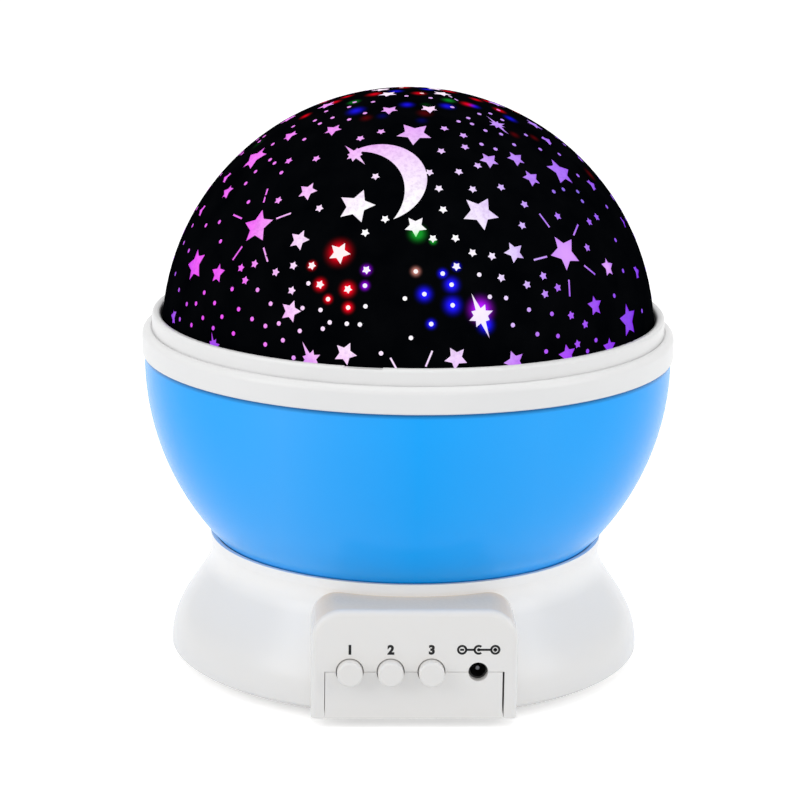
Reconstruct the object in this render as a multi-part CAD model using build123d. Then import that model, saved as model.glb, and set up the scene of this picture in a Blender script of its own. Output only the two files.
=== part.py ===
from build123d import *
import math
import os

# Star night light projector: a weighted white base with three buttons and a power inlet, a blue bowl
# that a geared motor turns on the base, and a lit dome under a black star mask in the bowl's rim.
# Millimetres and degrees, +Z up, the control panel faces -Y, the surface is at Z = 0.

# ------------------------------------------------------------------ heights of the main shells
FOOT_PROUD = 0.3          # rubber feet below the skirt's rim
SKIRT_HEIGHT = 31.7       # rim to the top of the neck lip
LIP_HEIGHT = 2.1          # neck lip above the deck
DECK_THICK = 2.0
BOWL_GAP = 0.8            # running gap between deck and bowl
BOWL_HEIGHT = 46.5
BOWL_EQUATOR = 1.3        # widest level of the bowl below its rim
RING_HEIGHT = 6.2
COLLAR_HEIGHT = 3.9
DOME_SINK = 2.1           # centre of the dome below the ring's shoulder

# ------------------------------------------------------------------ radii and walls
BOWL_R = 64.2
BOWL_WALL = 2.2
RING_OVERHANG = 0.6       # ring beyond the bowl
SHOULDER_W = 2.4
COLLAR_WALL = 2.1
DOME_GAP = 0.3            # collar to dome
DIFFUSER_WALL = 1.5
MASK_WALL = 0.35
SKIN_GAP = 0.05           # between the mask and the diffuser
LIP_WALL = 1.0
LIP_GAP = 0.3             # lip to bowl
BELLY_R = 57.7
BELLY_HEIGHT = 3.6        # widest place of the skirt above its rim
RIM_R = 50.0
NECK_WAIST = 1.9          # how far the flare draws in below the neck before it spreads
RIM_ROUND = 1.7           # run of the tuck's curve along the rim
SHELL = 2.2               # wall of the base housing

# ------------------------------------------------------------------ control panel
PANEL_PROUD = 0.3         # panel's face in front of the belly
PANEL_W = 48.1
PANEL_TOP = 28.8
PANEL_BOTTOM = 2.5
PANEL_CORNER = 7.3
PANEL_EDGE = 1.4
PANEL_SLOPE = 2.0         # its roof rises towards the neck
PANEL_DEPTH = 26.0
APRON_W = 41.9            # lower half of the face, part of the bottom cover
APRON_GAPS = (0.15, 0.45)  # left and right of the apron
PARTING_GAP = 0.1
CONTROL_Z = 14.0          # centres of the buttons and the inlet, on the parting line
BUTTON_PITCH = 9.5
BUTTON_FIRST_X = -15.1
BUTTON_R = 3.0
BUTTON_PROUD = 2.6
BUTTON_GAP = 0.25
BUTTON_TRAVEL = 1.5
FLANGE_R = 4.1
FLANGE_THICK = 1.0
PLUNGER_R = 1.6
SWITCH_DEPTH = 4.0
SWITCH_W = 6.2
JACK_X = 14.8
JACK_HOLE_R = 2.3
JACK_BORE_R = 1.9
JACK_PIN_R = 0.65
JACK_W = 7.0
JACK_H = 6.4
JACK_DEPTH = 5.6

# ------------------------------------------------------------------ inside the base
COVER_THICK = 2.0
COVER_RECESS = 0.3        # cover above the rim
COVER_GAP = 0.25
CELL_R = 5.25
CELL_LENGTH = 44.5
CELL_PITCH = 10.75
CELL_COUNT = 4
CONTACT_ROOM = 3.2        # at each end of a cell
BAY_Y = 8.6
BAY_WALL = 1.4
DOOR_THICK = 1.6
DOOR_GAP = 0.3
HINGE_GAP = 0.5           # wider gap at the hinged edge, so that the door can swing
HINGE_R = 0.85
TRUNNION_R = 0.5
BOARD_THICK = 1.6
BOARD_HEIGHT = 20.0
BOARD_INSET = 1.4         # board's ends inside the apron's opening
SCREW_R = 1.25
SCREW_INSET = 9.0         # cover screws and feet inside the cover's edge
FOOT_INSET = 4.6
FOOT_R = 3.0
COVER_SCREW_LENGTH = 11.0
RING_SCREW_LENGTH = 5.0
RIM_SCREW_LENGTH = 8.0
SMALL_SCREW_LENGTH = 5.0
SMALL_SCREW_R = 0.9
POST_SCREW_R = 1.1
GEAR_MODULE = 1.0
RING_TEETH = 50
PINION_TEETH = 14
PRESSURE_ANGLE = 20.0
TOOTH_BACKLASH = 0.25
GEAR_FACE = 4.0
SHAFT_R = 1.5
RUN_GAP = 0.05            # radial running clearance of a shaft
TURRET_R = 7.0
TURRET_HEIGHT = 15.8      # above the deck
HUB_R = 9.5
HUB_HEIGHT = 11.75
HUB_GAP = 0.06
MOTOR_R = 10.2
MOTOR_LENGTH = 13.5
MOTOR_OFFSET = 7.4        # motor axis in front of its output shaft
GEARBOX_HEIGHT = 8.8
GEARBOX_WALL = 2.0

# ------------------------------------------------------------------ lamp
POST_R = 5.1
POST_BORE = 3.8
LAMP_DROP = 13.2          # lamp board below the dome's centre
LAMP_BOARD_R = 13.5
LED_R = 2.5
LED_LENGTH = 6.1          # flange to the start of its dome
LED_CIRCLE = 6.5
LEAD_R = 1.3
THIN_LEAD_R = 1.0

# ------------------------------------------------------------------ worked out
RIM_Z = FOOT_PROUD
NECK_Z = RIM_Z + SKIRT_HEIGHT
DECK_Z = NECK_Z - LIP_HEIGHT
DECK_UNDER = DECK_Z - DECK_THICK
BOWL_Z = DECK_Z + BOWL_GAP
BOWL_TOP = BOWL_Z + BOWL_HEIGHT
BOWL_CENTRE = BOWL_TOP - BOWL_EQUATOR
RING_TOP = BOWL_TOP + RING_HEIGHT
COLLAR_TOP = RING_TOP + COLLAR_HEIGHT
DOME_Z = RING_TOP - DOME_SINK
RING_R = BOWL_R + RING_OVERHANG
COLLAR_R = RING_R - SHOULDER_W
COLLAR_BORE = COLLAR_R - COLLAR_WALL
DOME_R = COLLAR_BORE - DOME_GAP
LAMP_BOARD_Z = DOME_Z - LAMP_DROP
COVER_Z = RIM_Z + COVER_RECESS
COVER_TOP = COVER_Z + COVER_THICK
COVER_R = RIM_R - SHELL - COVER_GAP
STEP_TOP = PANEL_BOTTOM + COVER_THICK
PANEL_FRONT = BELLY_R + PANEL_PROUD
APRON_BACK = PANEL_FRONT - SHELL
APRON_LEFT = -APRON_W / 2 + APRON_GAPS[0]
APRON_RIGHT = APRON_W / 2 - APRON_GAPS[1]
BUTTON_XS = [BUTTON_FIRST_X + i * BUTTON_PITCH for i in range(3)]
LARGE = 200.0


def ball_radius(radius, centre_z, z):
    """Radius of the level circle that a sphere on the axis has at height z."""
    return math.sqrt(radius**2 - (z - centre_z) ** 2)


NECK_R = ball_radius(BOWL_R, BOWL_CENTRE, NECK_Z) + LIP_GAP + LIP_WALL


# ================================================================== helpers
def disc(radius, z_low, z_high, x=0.0, y=0.0):
    """Upright cylinder between two heights."""
    return Pos(x, y, z_low) * Cylinder(radius, z_high - z_low, align=(Align.CENTER, Align.CENTER, Align.MIN))


def tube(radius, bore, z_low, z_high, x=0.0, y=0.0):
    return disc(radius, z_low, z_high, x, y) - disc(bore, z_low - 1, z_high + 1, x, y)


def block(x_range, y_range, z_range):
    """Box between two corners."""
    size = (x_range[1] - x_range[0], y_range[1] - y_range[0], z_range[1] - z_range[0])
    corner = (Align.MIN, Align.MIN, Align.MIN)
    return Pos(x_range[0], y_range[0], z_range[0]) * Box(*size, align=corner)


def rod_y(radius, y_low, y_high, x, z):
    """Cylinder that lies along Y."""
    rod = Cylinder(radius, y_high - y_low, align=(Align.CENTER, Align.CENTER, Align.MIN))
    return Pos(x, y_low, z) * Rot(-90, 0, 0) * rod


def rod_x(radius, x_low, x_high, y, z):
    """Cylinder that lies along X."""
    rod = Cylinder(radius, x_high - x_low, align=(Align.CENTER, Align.CENTER, Align.MIN))
    return Pos(x_low, y, z) * Rot(0, 90, 0) * rod


def turned(outline):
    """Solid of revolution from a closed (radius, height) outline."""
    return revolve(Plane.XZ * make_face(outline), Axis.Z, 360)


def around(radius, angles):
    """Places on a circle about the axis."""
    return [(radius * math.cos(math.radians(a)), radius * math.sin(math.radians(a))) for a in angles]


def pan_screw(x, y, head_z, length, shank_r, up=1):
    """Screw with its head's seat at head_z; its shank runs against the direction up."""
    head_r = shank_r * 1.9
    head_h = shank_r * 1.2
    slot = block((x - head_r, x + head_r), (y - shank_r / 4, y + shank_r / 4), (0, head_h))
    if up > 0:
        head = disc(head_r, head_z, head_z + head_h, x, y)
        slot = Pos(0, 0, head_z + head_h / 2) * slot
        shank = disc(shank_r, head_z - length, head_z, x, y)
    else:
        head = disc(head_r, head_z - head_h, head_z, x, y)
        slot = Pos(0, 0, head_z - head_h * 1.5) * slot
        shank = disc(shank_r, head_z, head_z + length, x, y)
    return head + shank - slot


# ================================================================== base shells
def skirt_outline(inset, z_top):
    """Bell outline of the base: a flare below the neck, a round belly, and a tuck under to the rim."""
    neck = (NECK_R - inset, DECK_Z)
    belly = (BELLY_R - inset, RIM_Z + BELLY_HEIGHT)
    rim = (RIM_R - inset, RIM_Z + inset)
    fall = neck[1] - belly[1]
    tuck_h = belly[1] - rim[1]
    flare = Bezier(neck, (neck[0] - NECK_WAIST, neck[1] - 0.34 * fall),
                   (belly[0], belly[1] + 0.48 * fall), belly)
    tuck = Bezier(belly, (belly[0], belly[1] - 0.31 * tuck_h),
                  (rim[0] + RIM_ROUND, rim[1] + 0.14 * tuck_h), rim)
    outline = [flare, tuck, Line(rim, (0, rim[1])), Line((0, rim[1]), (0, z_top))]
    outline += [Line((0, z_top), (neck[0], z_top)), Line((neck[0], z_top), neck)]
    return Wire(outline)


def panel_block(front, half_width, top, corner):
    """Round-cornered block of the control panel, with the slope of its roof, open downwards."""
    face = Rectangle(2 * half_width, 2 * top)
    face = fillet(face.vertices().group_by(Axis.Y)[-1], corner)
    slope = math.radians(PANEL_SLOPE)
    back = (0, math.cos(slope), math.sin(slope))
    return extrude(Plane.XZ.offset(front) * face, amount=PANEL_DEPTH, dir=back)


def panel_outside():
    body = panel_block(PANEL_FRONT, PANEL_W / 2, PANEL_TOP, PANEL_CORNER)
    rim_edges = body.faces().sort_by(Axis.Y)[0].edges().filter_by(lambda e: e.center().Z > PANEL_BOTTOM)
    body = fillet(rim_edges, PANEL_EDGE)
    return body - block((-LARGE, LARGE), (-LARGE, LARGE), (-LARGE, PANEL_BOTTOM))


def control_holes():
    """Bores for the three buttons and the power inlet, shared by both halves of the panel."""
    holes = [rod_y(BUTTON_R + BUTTON_GAP, -PANEL_FRONT - 1, -APRON_BACK + 1, x, CONTROL_Z) for x in BUTTON_XS]
    holes.append(rod_y(JACK_HOLE_R, -PANEL_FRONT - 1, -APRON_BACK + 1, JACK_X, CONTROL_Z))
    return holes


COVER_SCREWS = around(COVER_R - SCREW_INSET, (30, 150, -20, -160))
PAD_TOP = COVER_TOP + 2.0
SCREW_BOSS_R = SCREW_R + 2.15
DECK_RIBS = (35, 90, 145, 190, -10)
DECK_RIB_THICK = 1.6
DECK_RIB_HEIGHT = 3.0
EAR_R = 3.0
EAR_X = MOTOR_R + 4.8
EAR_Y = -22.0
GEAR_CENTRES = GEAR_MODULE * (RING_TEETH - PINION_TEETH) / 2
GEARBOX_TOP = DECK_UNDER - 0.2
GEARBOX_LOW = GEARBOX_TOP - GEARBOX_HEIGHT
EAR_TOP = GEARBOX_TOP - 3.8
EAR_THICK = 2.0
COLLAR_BEARING_R = 4.0
TURRET_TOP = DECK_Z + TURRET_HEIGHT
WASHER_THICK = 1.0
WASHER_TOP = DECK_Z + WASHER_THICK
HUB_Z = WASHER_TOP + RUN_GAP
HUB_TOP = HUB_Z + HUB_HEIGHT
CLIP_Z = HUB_TOP + RUN_GAP + 0.6
CLIP_THICK = 0.8
POST_SEAT = DECK_Z - 0.2


def turret():
    """Hollow pivot on the deck that the bowl turns on; the lamp's post stands in its bore."""
    pivot = disc(TURRET_R, DECK_UNDER, TURRET_TOP)
    groove = tube(TURRET_R + 1, TURRET_R - 0.6, CLIP_Z - 0.05, CLIP_Z + CLIP_THICK + 0.05)
    return pivot - groove


def base_housing():
    shell = turned(skirt_outline(0, NECK_Z)) + panel_outside()
    hollow = turned(skirt_outline(SHELL, NECK_Z)) & disc(LARGE, -LARGE, DECK_UNDER)
    well = disc(NECK_R - LIP_WALL, DECK_Z, NECK_Z + 1)
    window = panel_block(APRON_BACK, APRON_W / 2, PANEL_TOP - SHELL, PANEL_CORNER - SHELL)
    window = window & disc(LARGE, -LARGE, DECK_UNDER)
    apron_room = block((-APRON_W / 2, APRON_W / 2), (-PANEL_FRONT - 1, -APRON_BACK + 1), (-1, CONTROL_Z))
    shell = shell - hollow - well - window - apron_room
    shell -= disc(RIM_R - SHELL, RIM_Z - 1, RIM_Z + SHELL + 1)
    for x, y in COVER_SCREWS:
        shell += disc(SCREW_BOSS_R, PAD_TOP, DECK_UNDER + 0.5, x, y)
        shell -= disc(SCREW_R + 0.02, PAD_TOP - 1, COVER_TOP + COVER_SCREW_LENGTH + 1, x, y)
    for x in (-EAR_X, EAR_X):
        shell += disc(EAR_R - 0.6, EAR_TOP, DECK_UNDER + 0.5, x, EAR_Y)
        shell -= disc(SMALL_SCREW_R + 0.02, EAR_TOP - 1, EAR_TOP + 4.5, x, EAR_Y)
    for angle in DECK_RIBS:
        rib = block((TURRET_R + 1, NECK_R - SHELL), (-DECK_RIB_THICK / 2, DECK_RIB_THICK / 2),
                    (DECK_UNDER - DECK_RIB_HEIGHT, DECK_UNDER + 0.5))
        shell += Rot(0, 0, angle) * rib
    shell += turret()
    shell -= disc(POST_R + 0.1, POST_SEAT, TURRET_TOP + 1)
    shell -= disc(POST_BORE, DECK_UNDER - 1, DECK_Z + 1)
    shell -= disc(COLLAR_BEARING_R + 0.2, DECK_UNDER - 1, DECK_Z + 1, 0, -GEAR_CENTRES)
    for hole in control_holes():
        shell -= hole
    return shell


# ================================================================== bottom cover and battery bay
BAY_X = CELL_LENGTH / 2 + CONTACT_ROOM
BAY_HALF_Y = CELL_COUNT * CELL_PITCH / 2 + 0.2
BAY_FRONT = BAY_Y - BAY_HALF_Y
BAY_BACK = BAY_Y + BAY_HALF_Y
DOOR_Z = COVER_Z + 0.1
DOOR_TOP = DOOR_Z + DOOR_THICK
CELL_Z = DOOR_TOP + 0.2 + CELL_R
BAY_CEILING = CELL_Z + CELL_R + 0.2
HINGE_Y = BAY_FRONT - HINGE_R - 0.05
HINGE_Z = COVER_Z + 0.95
HINGE_XS = (-16.0, 16.0)
LUG_W = 5.0
DOOR_FRONT = BAY_FRONT + HINGE_GAP
DOOR_BACK = BAY_BACK - DOOR_GAP
LATCH_Y = BAY_BACK + BAY_WALL + 2.4
LATCH_R = 3.1
LATCH_THICK = 1.2
FEET = around(COVER_R - FOOT_INSET, (63, 117, -50, -130))
CAP_BACK = -APRON_BACK + 0.1 + FLANGE_THICK
SWITCH_FRONT = CAP_BACK + BUTTON_TRAVEL + 1.1
BOARD_Y = SWITCH_FRONT + SWITCH_DEPTH      # front face of the control board
BOARD_BACK = BOARD_Y + BOARD_THICK
BOARD_X = APRON_W / 2 - BOARD_INSET
BOARD_LOW = STEP_TOP + 0.4
STEP_Y = BOARD_BACK + 6.0                  # the step in the cover ends behind the board
RIB_W = 3.0
RIB_X = BOARD_X - RIB_W / 2
RIB_TOP = BOARD_LOW + 3.5
CHIP_SIZE = (6.0, 8.0, 1.6)
CAPACITOR_R = 2.5
CAPACITOR_Z = BOARD_LOW + BOARD_HEIGHT / 5
TERMINAL_W = 6.0
TERMINAL_X = BOARD_X - TERMINAL_W / 2 - 1.6
TERMINAL_Z = BOARD_LOW + 0.6 * BOARD_HEIGHT
TERMINAL_BACK = BOARD_BACK + 3.0


def cover_plate():
    """Round plate that steps up at the front to the apron, the lower half of the panel's face."""
    plate = disc(COVER_R, COVER_Z, COVER_TOP)
    plate += disc(COVER_R, COVER_Z, STEP_TOP) & block((APRON_LEFT, APRON_RIGHT), (-LARGE, STEP_Y), (0, LARGE))
    plate += block((APRON_LEFT, APRON_RIGHT), (-APRON_BACK - 0.5, STEP_Y), (PANEL_BOTTOM, STEP_TOP))
    front = block((APRON_LEFT, APRON_RIGHT), (-LARGE, -APRON_BACK), (0, CONTROL_Z - PARTING_GAP))
    return plate + (panel_outside() & front)


def bay_box():
    """Well for the cells: four walls and a ceiling, open downwards."""
    outer = block((-BAY_X - BAY_WALL, BAY_X + BAY_WALL), (BAY_FRONT - BAY_WALL, BAY_BACK + BAY_WALL),
                  (COVER_Z, BAY_CEILING + BAY_WALL))
    outer = fillet(outer.edges().filter_by(Axis.Z), 2.0)
    return outer & disc(COVER_R, 0, LARGE)


def hinge_pockets():
    """Two slots in the cover for the door's lugs, with a round hole each side for its trunnions."""
    cuts = []
    for x in HINGE_XS:
        side = LUG_W / 2 + 0.3
        cuts.append(block((x - side, x + side), (HINGE_Y - HINGE_R - 0.25, BAY_FRONT + 0.1), (0, COVER_TOP)))
        cuts.append(rod_x(TRUNNION_R + 0.08, x - side - 0.8, x + side + 0.8, HINGE_Y, HINGE_Z))
    return cuts


def bottom_cover():
    cover = cover_plate() + bay_box()
    cover -= block((-BAY_X, BAY_X), (BAY_FRONT, BAY_BACK), (0, BAY_CEILING))
    cover += disc(SCREW_R * 2, COVER_TOP, COVER_TOP + 7, 0, LATCH_Y)
    cover -= disc(SCREW_R * 1.2, COVER_Z, COVER_TOP + 6, 0, LATCH_Y)
    latch_room = disc(LATCH_R + DOOR_GAP, 0, DOOR_Z + LATCH_THICK + 0.15, 0, LATCH_Y)
    latch_room += block((-LATCH_R - DOOR_GAP, LATCH_R + DOOR_GAP), (BAY_BACK - 1, LATCH_Y),
                        (0, DOOR_Z + LATCH_THICK + 0.15))
    cover -= latch_room
    for x, y in COVER_SCREWS:
        cover += disc(SCREW_BOSS_R + 0.6, COVER_Z, PAD_TOP, x, y) & disc(COVER_R, 0, LARGE)
        cover -= disc(SCREW_R * 1.9 + 0.3, 0, COVER_TOP, x, y)
        cover -= disc(SCREW_R + 0.15, 0, PAD_TOP + 1, x, y)
    for x in (-RIB_X, RIB_X):
        rib = block((x - RIB_W / 2, x + RIB_W / 2), (BOARD_Y - 1.2, BOARD_BACK + 1.2),
                    (STEP_TOP - 0.5, RIB_TOP))
        slot = block((x - RIB_W, x + RIB_W), (BOARD_Y - 0.05, BOARD_BACK + 0.05), (BOARD_LOW, RIB_TOP + 1))
        cover += rib - slot
    for cut in hinge_pockets() + control_holes():
        cover -= cut
    return cover


def rubber_feet():
    feet = [disc(FOOT_R, 0, COVER_Z, x, y) for x, y in FEET]
    return [chamfer(f.edges().group_by(Axis.Z)[0], COVER_Z / 4) for f in feet]


def cover_screws():
    return [pan_screw(x, y, COVER_TOP, COVER_SCREW_LENGTH, SCREW_R, up=-1) for x, y in COVER_SCREWS]


def battery_door():
    """Flap with two snap-in hinge lugs at one edge and a screwed tongue at the other."""
    flap = block((-BAY_X + DOOR_GAP, BAY_X - DOOR_GAP), (DOOR_FRONT, DOOR_BACK), (DOOR_Z, DOOR_TOP))
    flap = fillet(flap.edges().filter_by(Axis.Z), 1.5)
    for i in range(5):
        y = BAY_Y - 8 + 4 * i
        flap -= block((-9, 9), (y - 0.5, y + 0.5), (DOOR_Z - 1, DOOR_Z + 0.4))
    for x in HINGE_XS:
        half = LUG_W / 2
        flap += rod_x(HINGE_R, x - half, x + half, HINGE_Y, HINGE_Z)
        flap += block((x - half, x + half), (HINGE_Y, DOOR_FRONT + 1), (DOOR_Z, DOOR_TOP))
        flap += rod_x(TRUNNION_R, x - half - 0.8, x + half + 0.8, HINGE_Y, HINGE_Z)
    tongue = disc(LATCH_R, DOOR_Z, DOOR_Z + LATCH_THICK, 0, LATCH_Y)
    tongue += block((-LATCH_R, LATCH_R), (DOOR_BACK - 1, LATCH_Y), (DOOR_Z, DOOR_Z + LATCH_THICK))
    tongue -= disc(2.2, DOOR_Z - 1, DOOR_Z + 0.8, 0, LATCH_Y)
    tongue -= disc(1.1, DOOR_Z - 1, DOOR_TOP, 0, LATCH_Y)
    return flap + tongue


def door_screw():
    """Captive screw in the door's tongue."""
    screw = disc(2.0, DOOR_Z, DOOR_Z + 0.8, 0, LATCH_Y) + disc(1.0, DOOR_Z + 0.8, DOOR_Z + 6.0, 0, LATCH_Y)
    return screw - block((-2, 2), (LATCH_Y - 0.3, LATCH_Y + 0.3), (DOOR_Z - 1, DOOR_Z + 0.4))


def cell_rows():
    first = BAY_Y - (CELL_COUNT - 1) * CELL_PITCH / 2
    return [first + i * CELL_PITCH for i in range(CELL_COUNT)]


def batteries():
    """Four AAA cells, laid head to tail."""
    cells = []
    for i, y in enumerate(cell_rows()):
        can = rod_x(CELL_R, -CELL_LENGTH / 2, CELL_LENGTH / 2 - 1.0, y, CELL_Z)
        can = fillet(can.edges().filter_by(GeomType.CIRCLE), 0.5)
        can += rod_x(1.9, CELL_LENGTH / 2 - 1.1, CELL_LENGTH / 2, y, CELL_Z)
        cells.append(can if i % 2 == 0 else mirror(can, about=Plane.YZ))
    return cells


LEAF_THICK = 0.35


def leaf(side, y, bow):
    """Contact leaf against the bay's end wall, bowed towards the cell by the given amount."""
    wall_x = BAY_X - 0.05
    reach = CELL_LENGTH / 2 + 0.05
    z_low, z_high = CELL_Z - 0.8 * CELL_R, CELL_Z + 0.8 * CELL_R
    outline = Polyline((wall_x, z_low), (wall_x, z_high), (wall_x - bow, z_high), (reach, CELL_Z),
                       (wall_x - bow, z_low), close=True)
    inner = Polyline((wall_x - LEAF_THICK, z_low + 1.2), (wall_x - LEAF_THICK, z_high - 1.2),
                     (reach + 1.3 * LEAF_THICK, CELL_Z), close=True)
    face = make_face(outline) - make_face(inner)
    strip = extrude(Plane.XZ.offset(-y) * face, amount=CELL_PITCH / 3, both=True)
    return strip if side > 0 else mirror(strip, about=Plane.YZ)


def battery_contacts():
    return [leaf(side, y, 0.6) for side in (-1, 1) for y in cell_rows()]


# ================================================================== controls
CAP_FRONT_THICK = 1.6


def button_cap(x):
    """Push button: a hollow cap with a flange behind the panel that keeps it in."""
    front = -PANEL_FRONT - BUTTON_PROUD
    cap = rod_y(BUTTON_R, front, CAP_BACK, x, CONTROL_Z)
    cap = fillet(cap.faces().sort_by(Axis.Y)[0].edges(), 0.2 * BUTTON_R)
    cap += rod_y(FLANGE_R, CAP_BACK - FLANGE_THICK, CAP_BACK, x, CONTROL_Z)
    return cap - rod_y(PLUNGER_R + 0.5, front + CAP_FRONT_THICK, CAP_BACK + 1, x, CONTROL_Z)


def switch_plunger(x):
    front = -PANEL_FRONT - BUTTON_PROUD + CAP_FRONT_THICK
    stem = rod_y(PLUNGER_R, front, SWITCH_FRONT + 1.2, x, CONTROL_Z)
    return chamfer(stem.edges().group_by(Axis.Y)[-1], 0.3)


def push_switches():
    """Square switch bodies on the board, each with a bore for its plunger and two solder tabs."""
    bodies = []
    half = SWITCH_W / 2
    tab = half + 0.9
    for x in BUTTON_XS:
        body = block((x - half, x + half), (SWITCH_FRONT, BOARD_Y), (CONTROL_Z - half, CONTROL_Z + half))
        body = chamfer(body.edges().filter_by(Axis.Y), 0.5)
        for z in (CONTROL_Z - half / 2, CONTROL_Z + half / 2):
            body += block((x - tab, x + tab), (BOARD_Y - 0.4, BOARD_Y), (z - 0.6, z + 0.6))
        bodies.append(body - rod_y(PLUNGER_R + 0.08, SWITCH_FRONT - 1, SWITCH_FRONT + 3.2, x, CONTROL_Z))
    return bodies


def dc_jack():
    """Barrel inlet: a black block with a round nose against the panel."""
    body = block((JACK_X - JACK_W / 2, JACK_X + JACK_W / 2), (BOARD_Y - JACK_DEPTH, BOARD_Y),
                 (CONTROL_Z - JACK_H / 2, CONTROL_Z + JACK_H / 2))
    body = chamfer(body.edges().filter_by(Axis.Y), 0.6)
    body += rod_y(JACK_BORE_R + 1.2, -APRON_BACK + 0.05, BOARD_Y - JACK_DEPTH + 0.6, JACK_X, CONTROL_Z)
    return body - rod_y(JACK_BORE_R, -PANEL_FRONT, BOARD_Y - 0.8, JACK_X, CONTROL_Z)


def jack_pin():
    pin = rod_y(JACK_PIN_R, -APRON_BACK + 0.6, BOARD_Y - 0.8, JACK_X, CONTROL_Z)
    return fillet(pin.edges().group_by(Axis.Y)[0], 0.3)


def control_board():
    board = block((-BOARD_X, BOARD_X), (BOARD_Y, BOARD_BACK), (BOARD_LOW, BOARD_LOW + BOARD_HEIGHT))
    return fillet(board.edges().filter_by(Axis.Y), 1.0)


def board_components():
    """Control chip, capacitor and the battery lead's terminal on the back of the board."""
    width, height, thick = CHIP_SIZE
    chip_z = BOARD_LOW + BOARD_HEIGHT / 4
    chip = block((-2 * width, -width), (BOARD_BACK, BOARD_BACK + thick), (chip_z, chip_z + height))
    capacitor = rod_y(CAPACITOR_R, BOARD_BACK, BOARD_BACK + 2 * CAPACITOR_R, 0.4 * BOARD_X, CAPACITOR_Z)
    terminal = block((TERMINAL_X - TERMINAL_W / 2, TERMINAL_X + TERMINAL_W / 2), (BOARD_BACK, TERMINAL_BACK),
                     (TERMINAL_Z - TERMINAL_W / 3, TERMINAL_Z + TERMINAL_W / 3))
    return [chamfer(chip.edges().group_by(Axis.Y)[-1], 0.3), capacitor, terminal]


# ================================================================== drive
def involute(base_r, radius):
    """Polar angle of an involute that starts at its base circle."""
    roll = math.sqrt(max((radius / base_r) ** 2 - 1, 0.0))
    return roll - math.atan(roll)


def gear_outline(teeth, root_r, tip_r, inner, phase):
    """Gear outline with involute flanks; inner outlines are tooth spaces of a ring gear."""
    pitch_r = GEAR_MODULE * teeth / 2
    base_r = pitch_r * math.cos(math.radians(PRESSURE_ANGLE))
    thin = -TOOTH_BACKLASH / (4 * pitch_r)
    if inner:
        thin = -thin
    half = math.pi / (2 * teeth) + thin
    points = []
    for i in range(teeth):
        middle = math.radians(phase) + 2 * math.pi * i / teeth
        low, high = min(root_r, tip_r), max(root_r, tip_r)
        radii = [low, max(low, base_r), pitch_r, high]
        radii = sorted(set(round(r, 6) for r in radii))
        flank = [(r, half + involute(base_r, pitch_r) - involute(base_r, max(r, base_r))) for r in radii]
        points += [(r, middle - a) for r, a in flank]
        points += [(r, middle + a) for r, a in reversed(flank)]
    return make_face(Polyline([(r * math.cos(a), r * math.sin(a)) for r, a in points], close=True))


MESH_ANGLE = -90.0
TOOTH_LOW = HUB_Z + 1.0
TOOTH_HIGH = TOOTH_LOW + GEAR_FACE
WEB_Z = TOOTH_HIGH + 0.6
WEB_THICK = 2.0
RING_PITCH_R = GEAR_MODULE * RING_TEETH / 2
RING_ROOT_R = RING_PITCH_R + 1.15 * GEAR_MODULE
RING_TIP_R = RING_PITCH_R - 0.8 * GEAR_MODULE
GEAR_RIM_R = RING_ROOT_R + 2.4
FLOOR_OPENING_R = GEAR_RIM_R + 0.4
FLOOR_POST_R = 3.0
FLOOR_POST_CIRCLE = FLOOR_OPENING_R + FLOOR_POST_R + 1.5
FLOOR_POSTS = around(FLOOR_POST_CIRCLE, (0, 90, 180, 270))
WEB_R = FLOOR_POST_CIRCLE + FLOOR_POST_R


def drive_ring():
    """Ring gear, web and hub in one moulding: it closes the bowl's floor and turns on the turret."""
    ring = disc(WEB_R, WEB_Z, WEB_Z + WEB_THICK) + disc(GEAR_RIM_R, TOOTH_LOW - 0.4, WEB_Z + 0.5)
    spaces = gear_outline(RING_TEETH, RING_ROOT_R, RING_TIP_R, True, MESH_ANGLE)
    ring -= Pos(0, 0, TOOTH_LOW - 1) * extrude(spaces, WEB_Z - TOOTH_LOW + 1)
    ring += disc(HUB_R, HUB_Z, HUB_TOP)
    ring -= disc(TURRET_R + HUB_GAP, 0, HUB_TOP + 1)
    for x, y in FLOOR_POSTS:
        ring -= disc(POST_SCREW_R + 0.2, WEB_Z - 1, WEB_Z + WEB_THICK + 1, x, y)
    for x, y in around(0.5 * (HUB_R + RING_TIP_R) + 0.5, range(0, 360, 60)):
        ring -= disc(4.0, WEB_Z - 1, WEB_Z + WEB_THICK + 1, x, y)
    return ring


def ring_screws():
    return [pan_screw(x, y, WEB_Z + WEB_THICK, RING_SCREW_LENGTH, POST_SCREW_R) for x, y in FLOOR_POSTS]


def drive_pinion():
    gear = gear_outline(PINION_TEETH, GEAR_MODULE * (PINION_TEETH / 2 - 1.15),
                        GEAR_MODULE * (PINION_TEETH / 2 + 0.8), False, MESH_ANGLE)
    pinion = Pos(0, -GEAR_CENTRES, TOOTH_LOW) * extrude(gear, GEAR_FACE)
    pinion += disc(3.2, TOOTH_LOW - 1.0, TOOTH_LOW, 0, -GEAR_CENTRES)
    return pinion - disc(SHAFT_R + 0.02, 0, LARGE, 0, -GEAR_CENTRES)


def drive_shaft():
    shaft = disc(SHAFT_R, GEARBOX_LOW + GEARBOX_WALL + 1, TOOTH_HIGH + 0.2, 0, -GEAR_CENTRES)
    return chamfer(shaft.edges().group_by(Axis.Z)[-1], 0.3)


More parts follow.
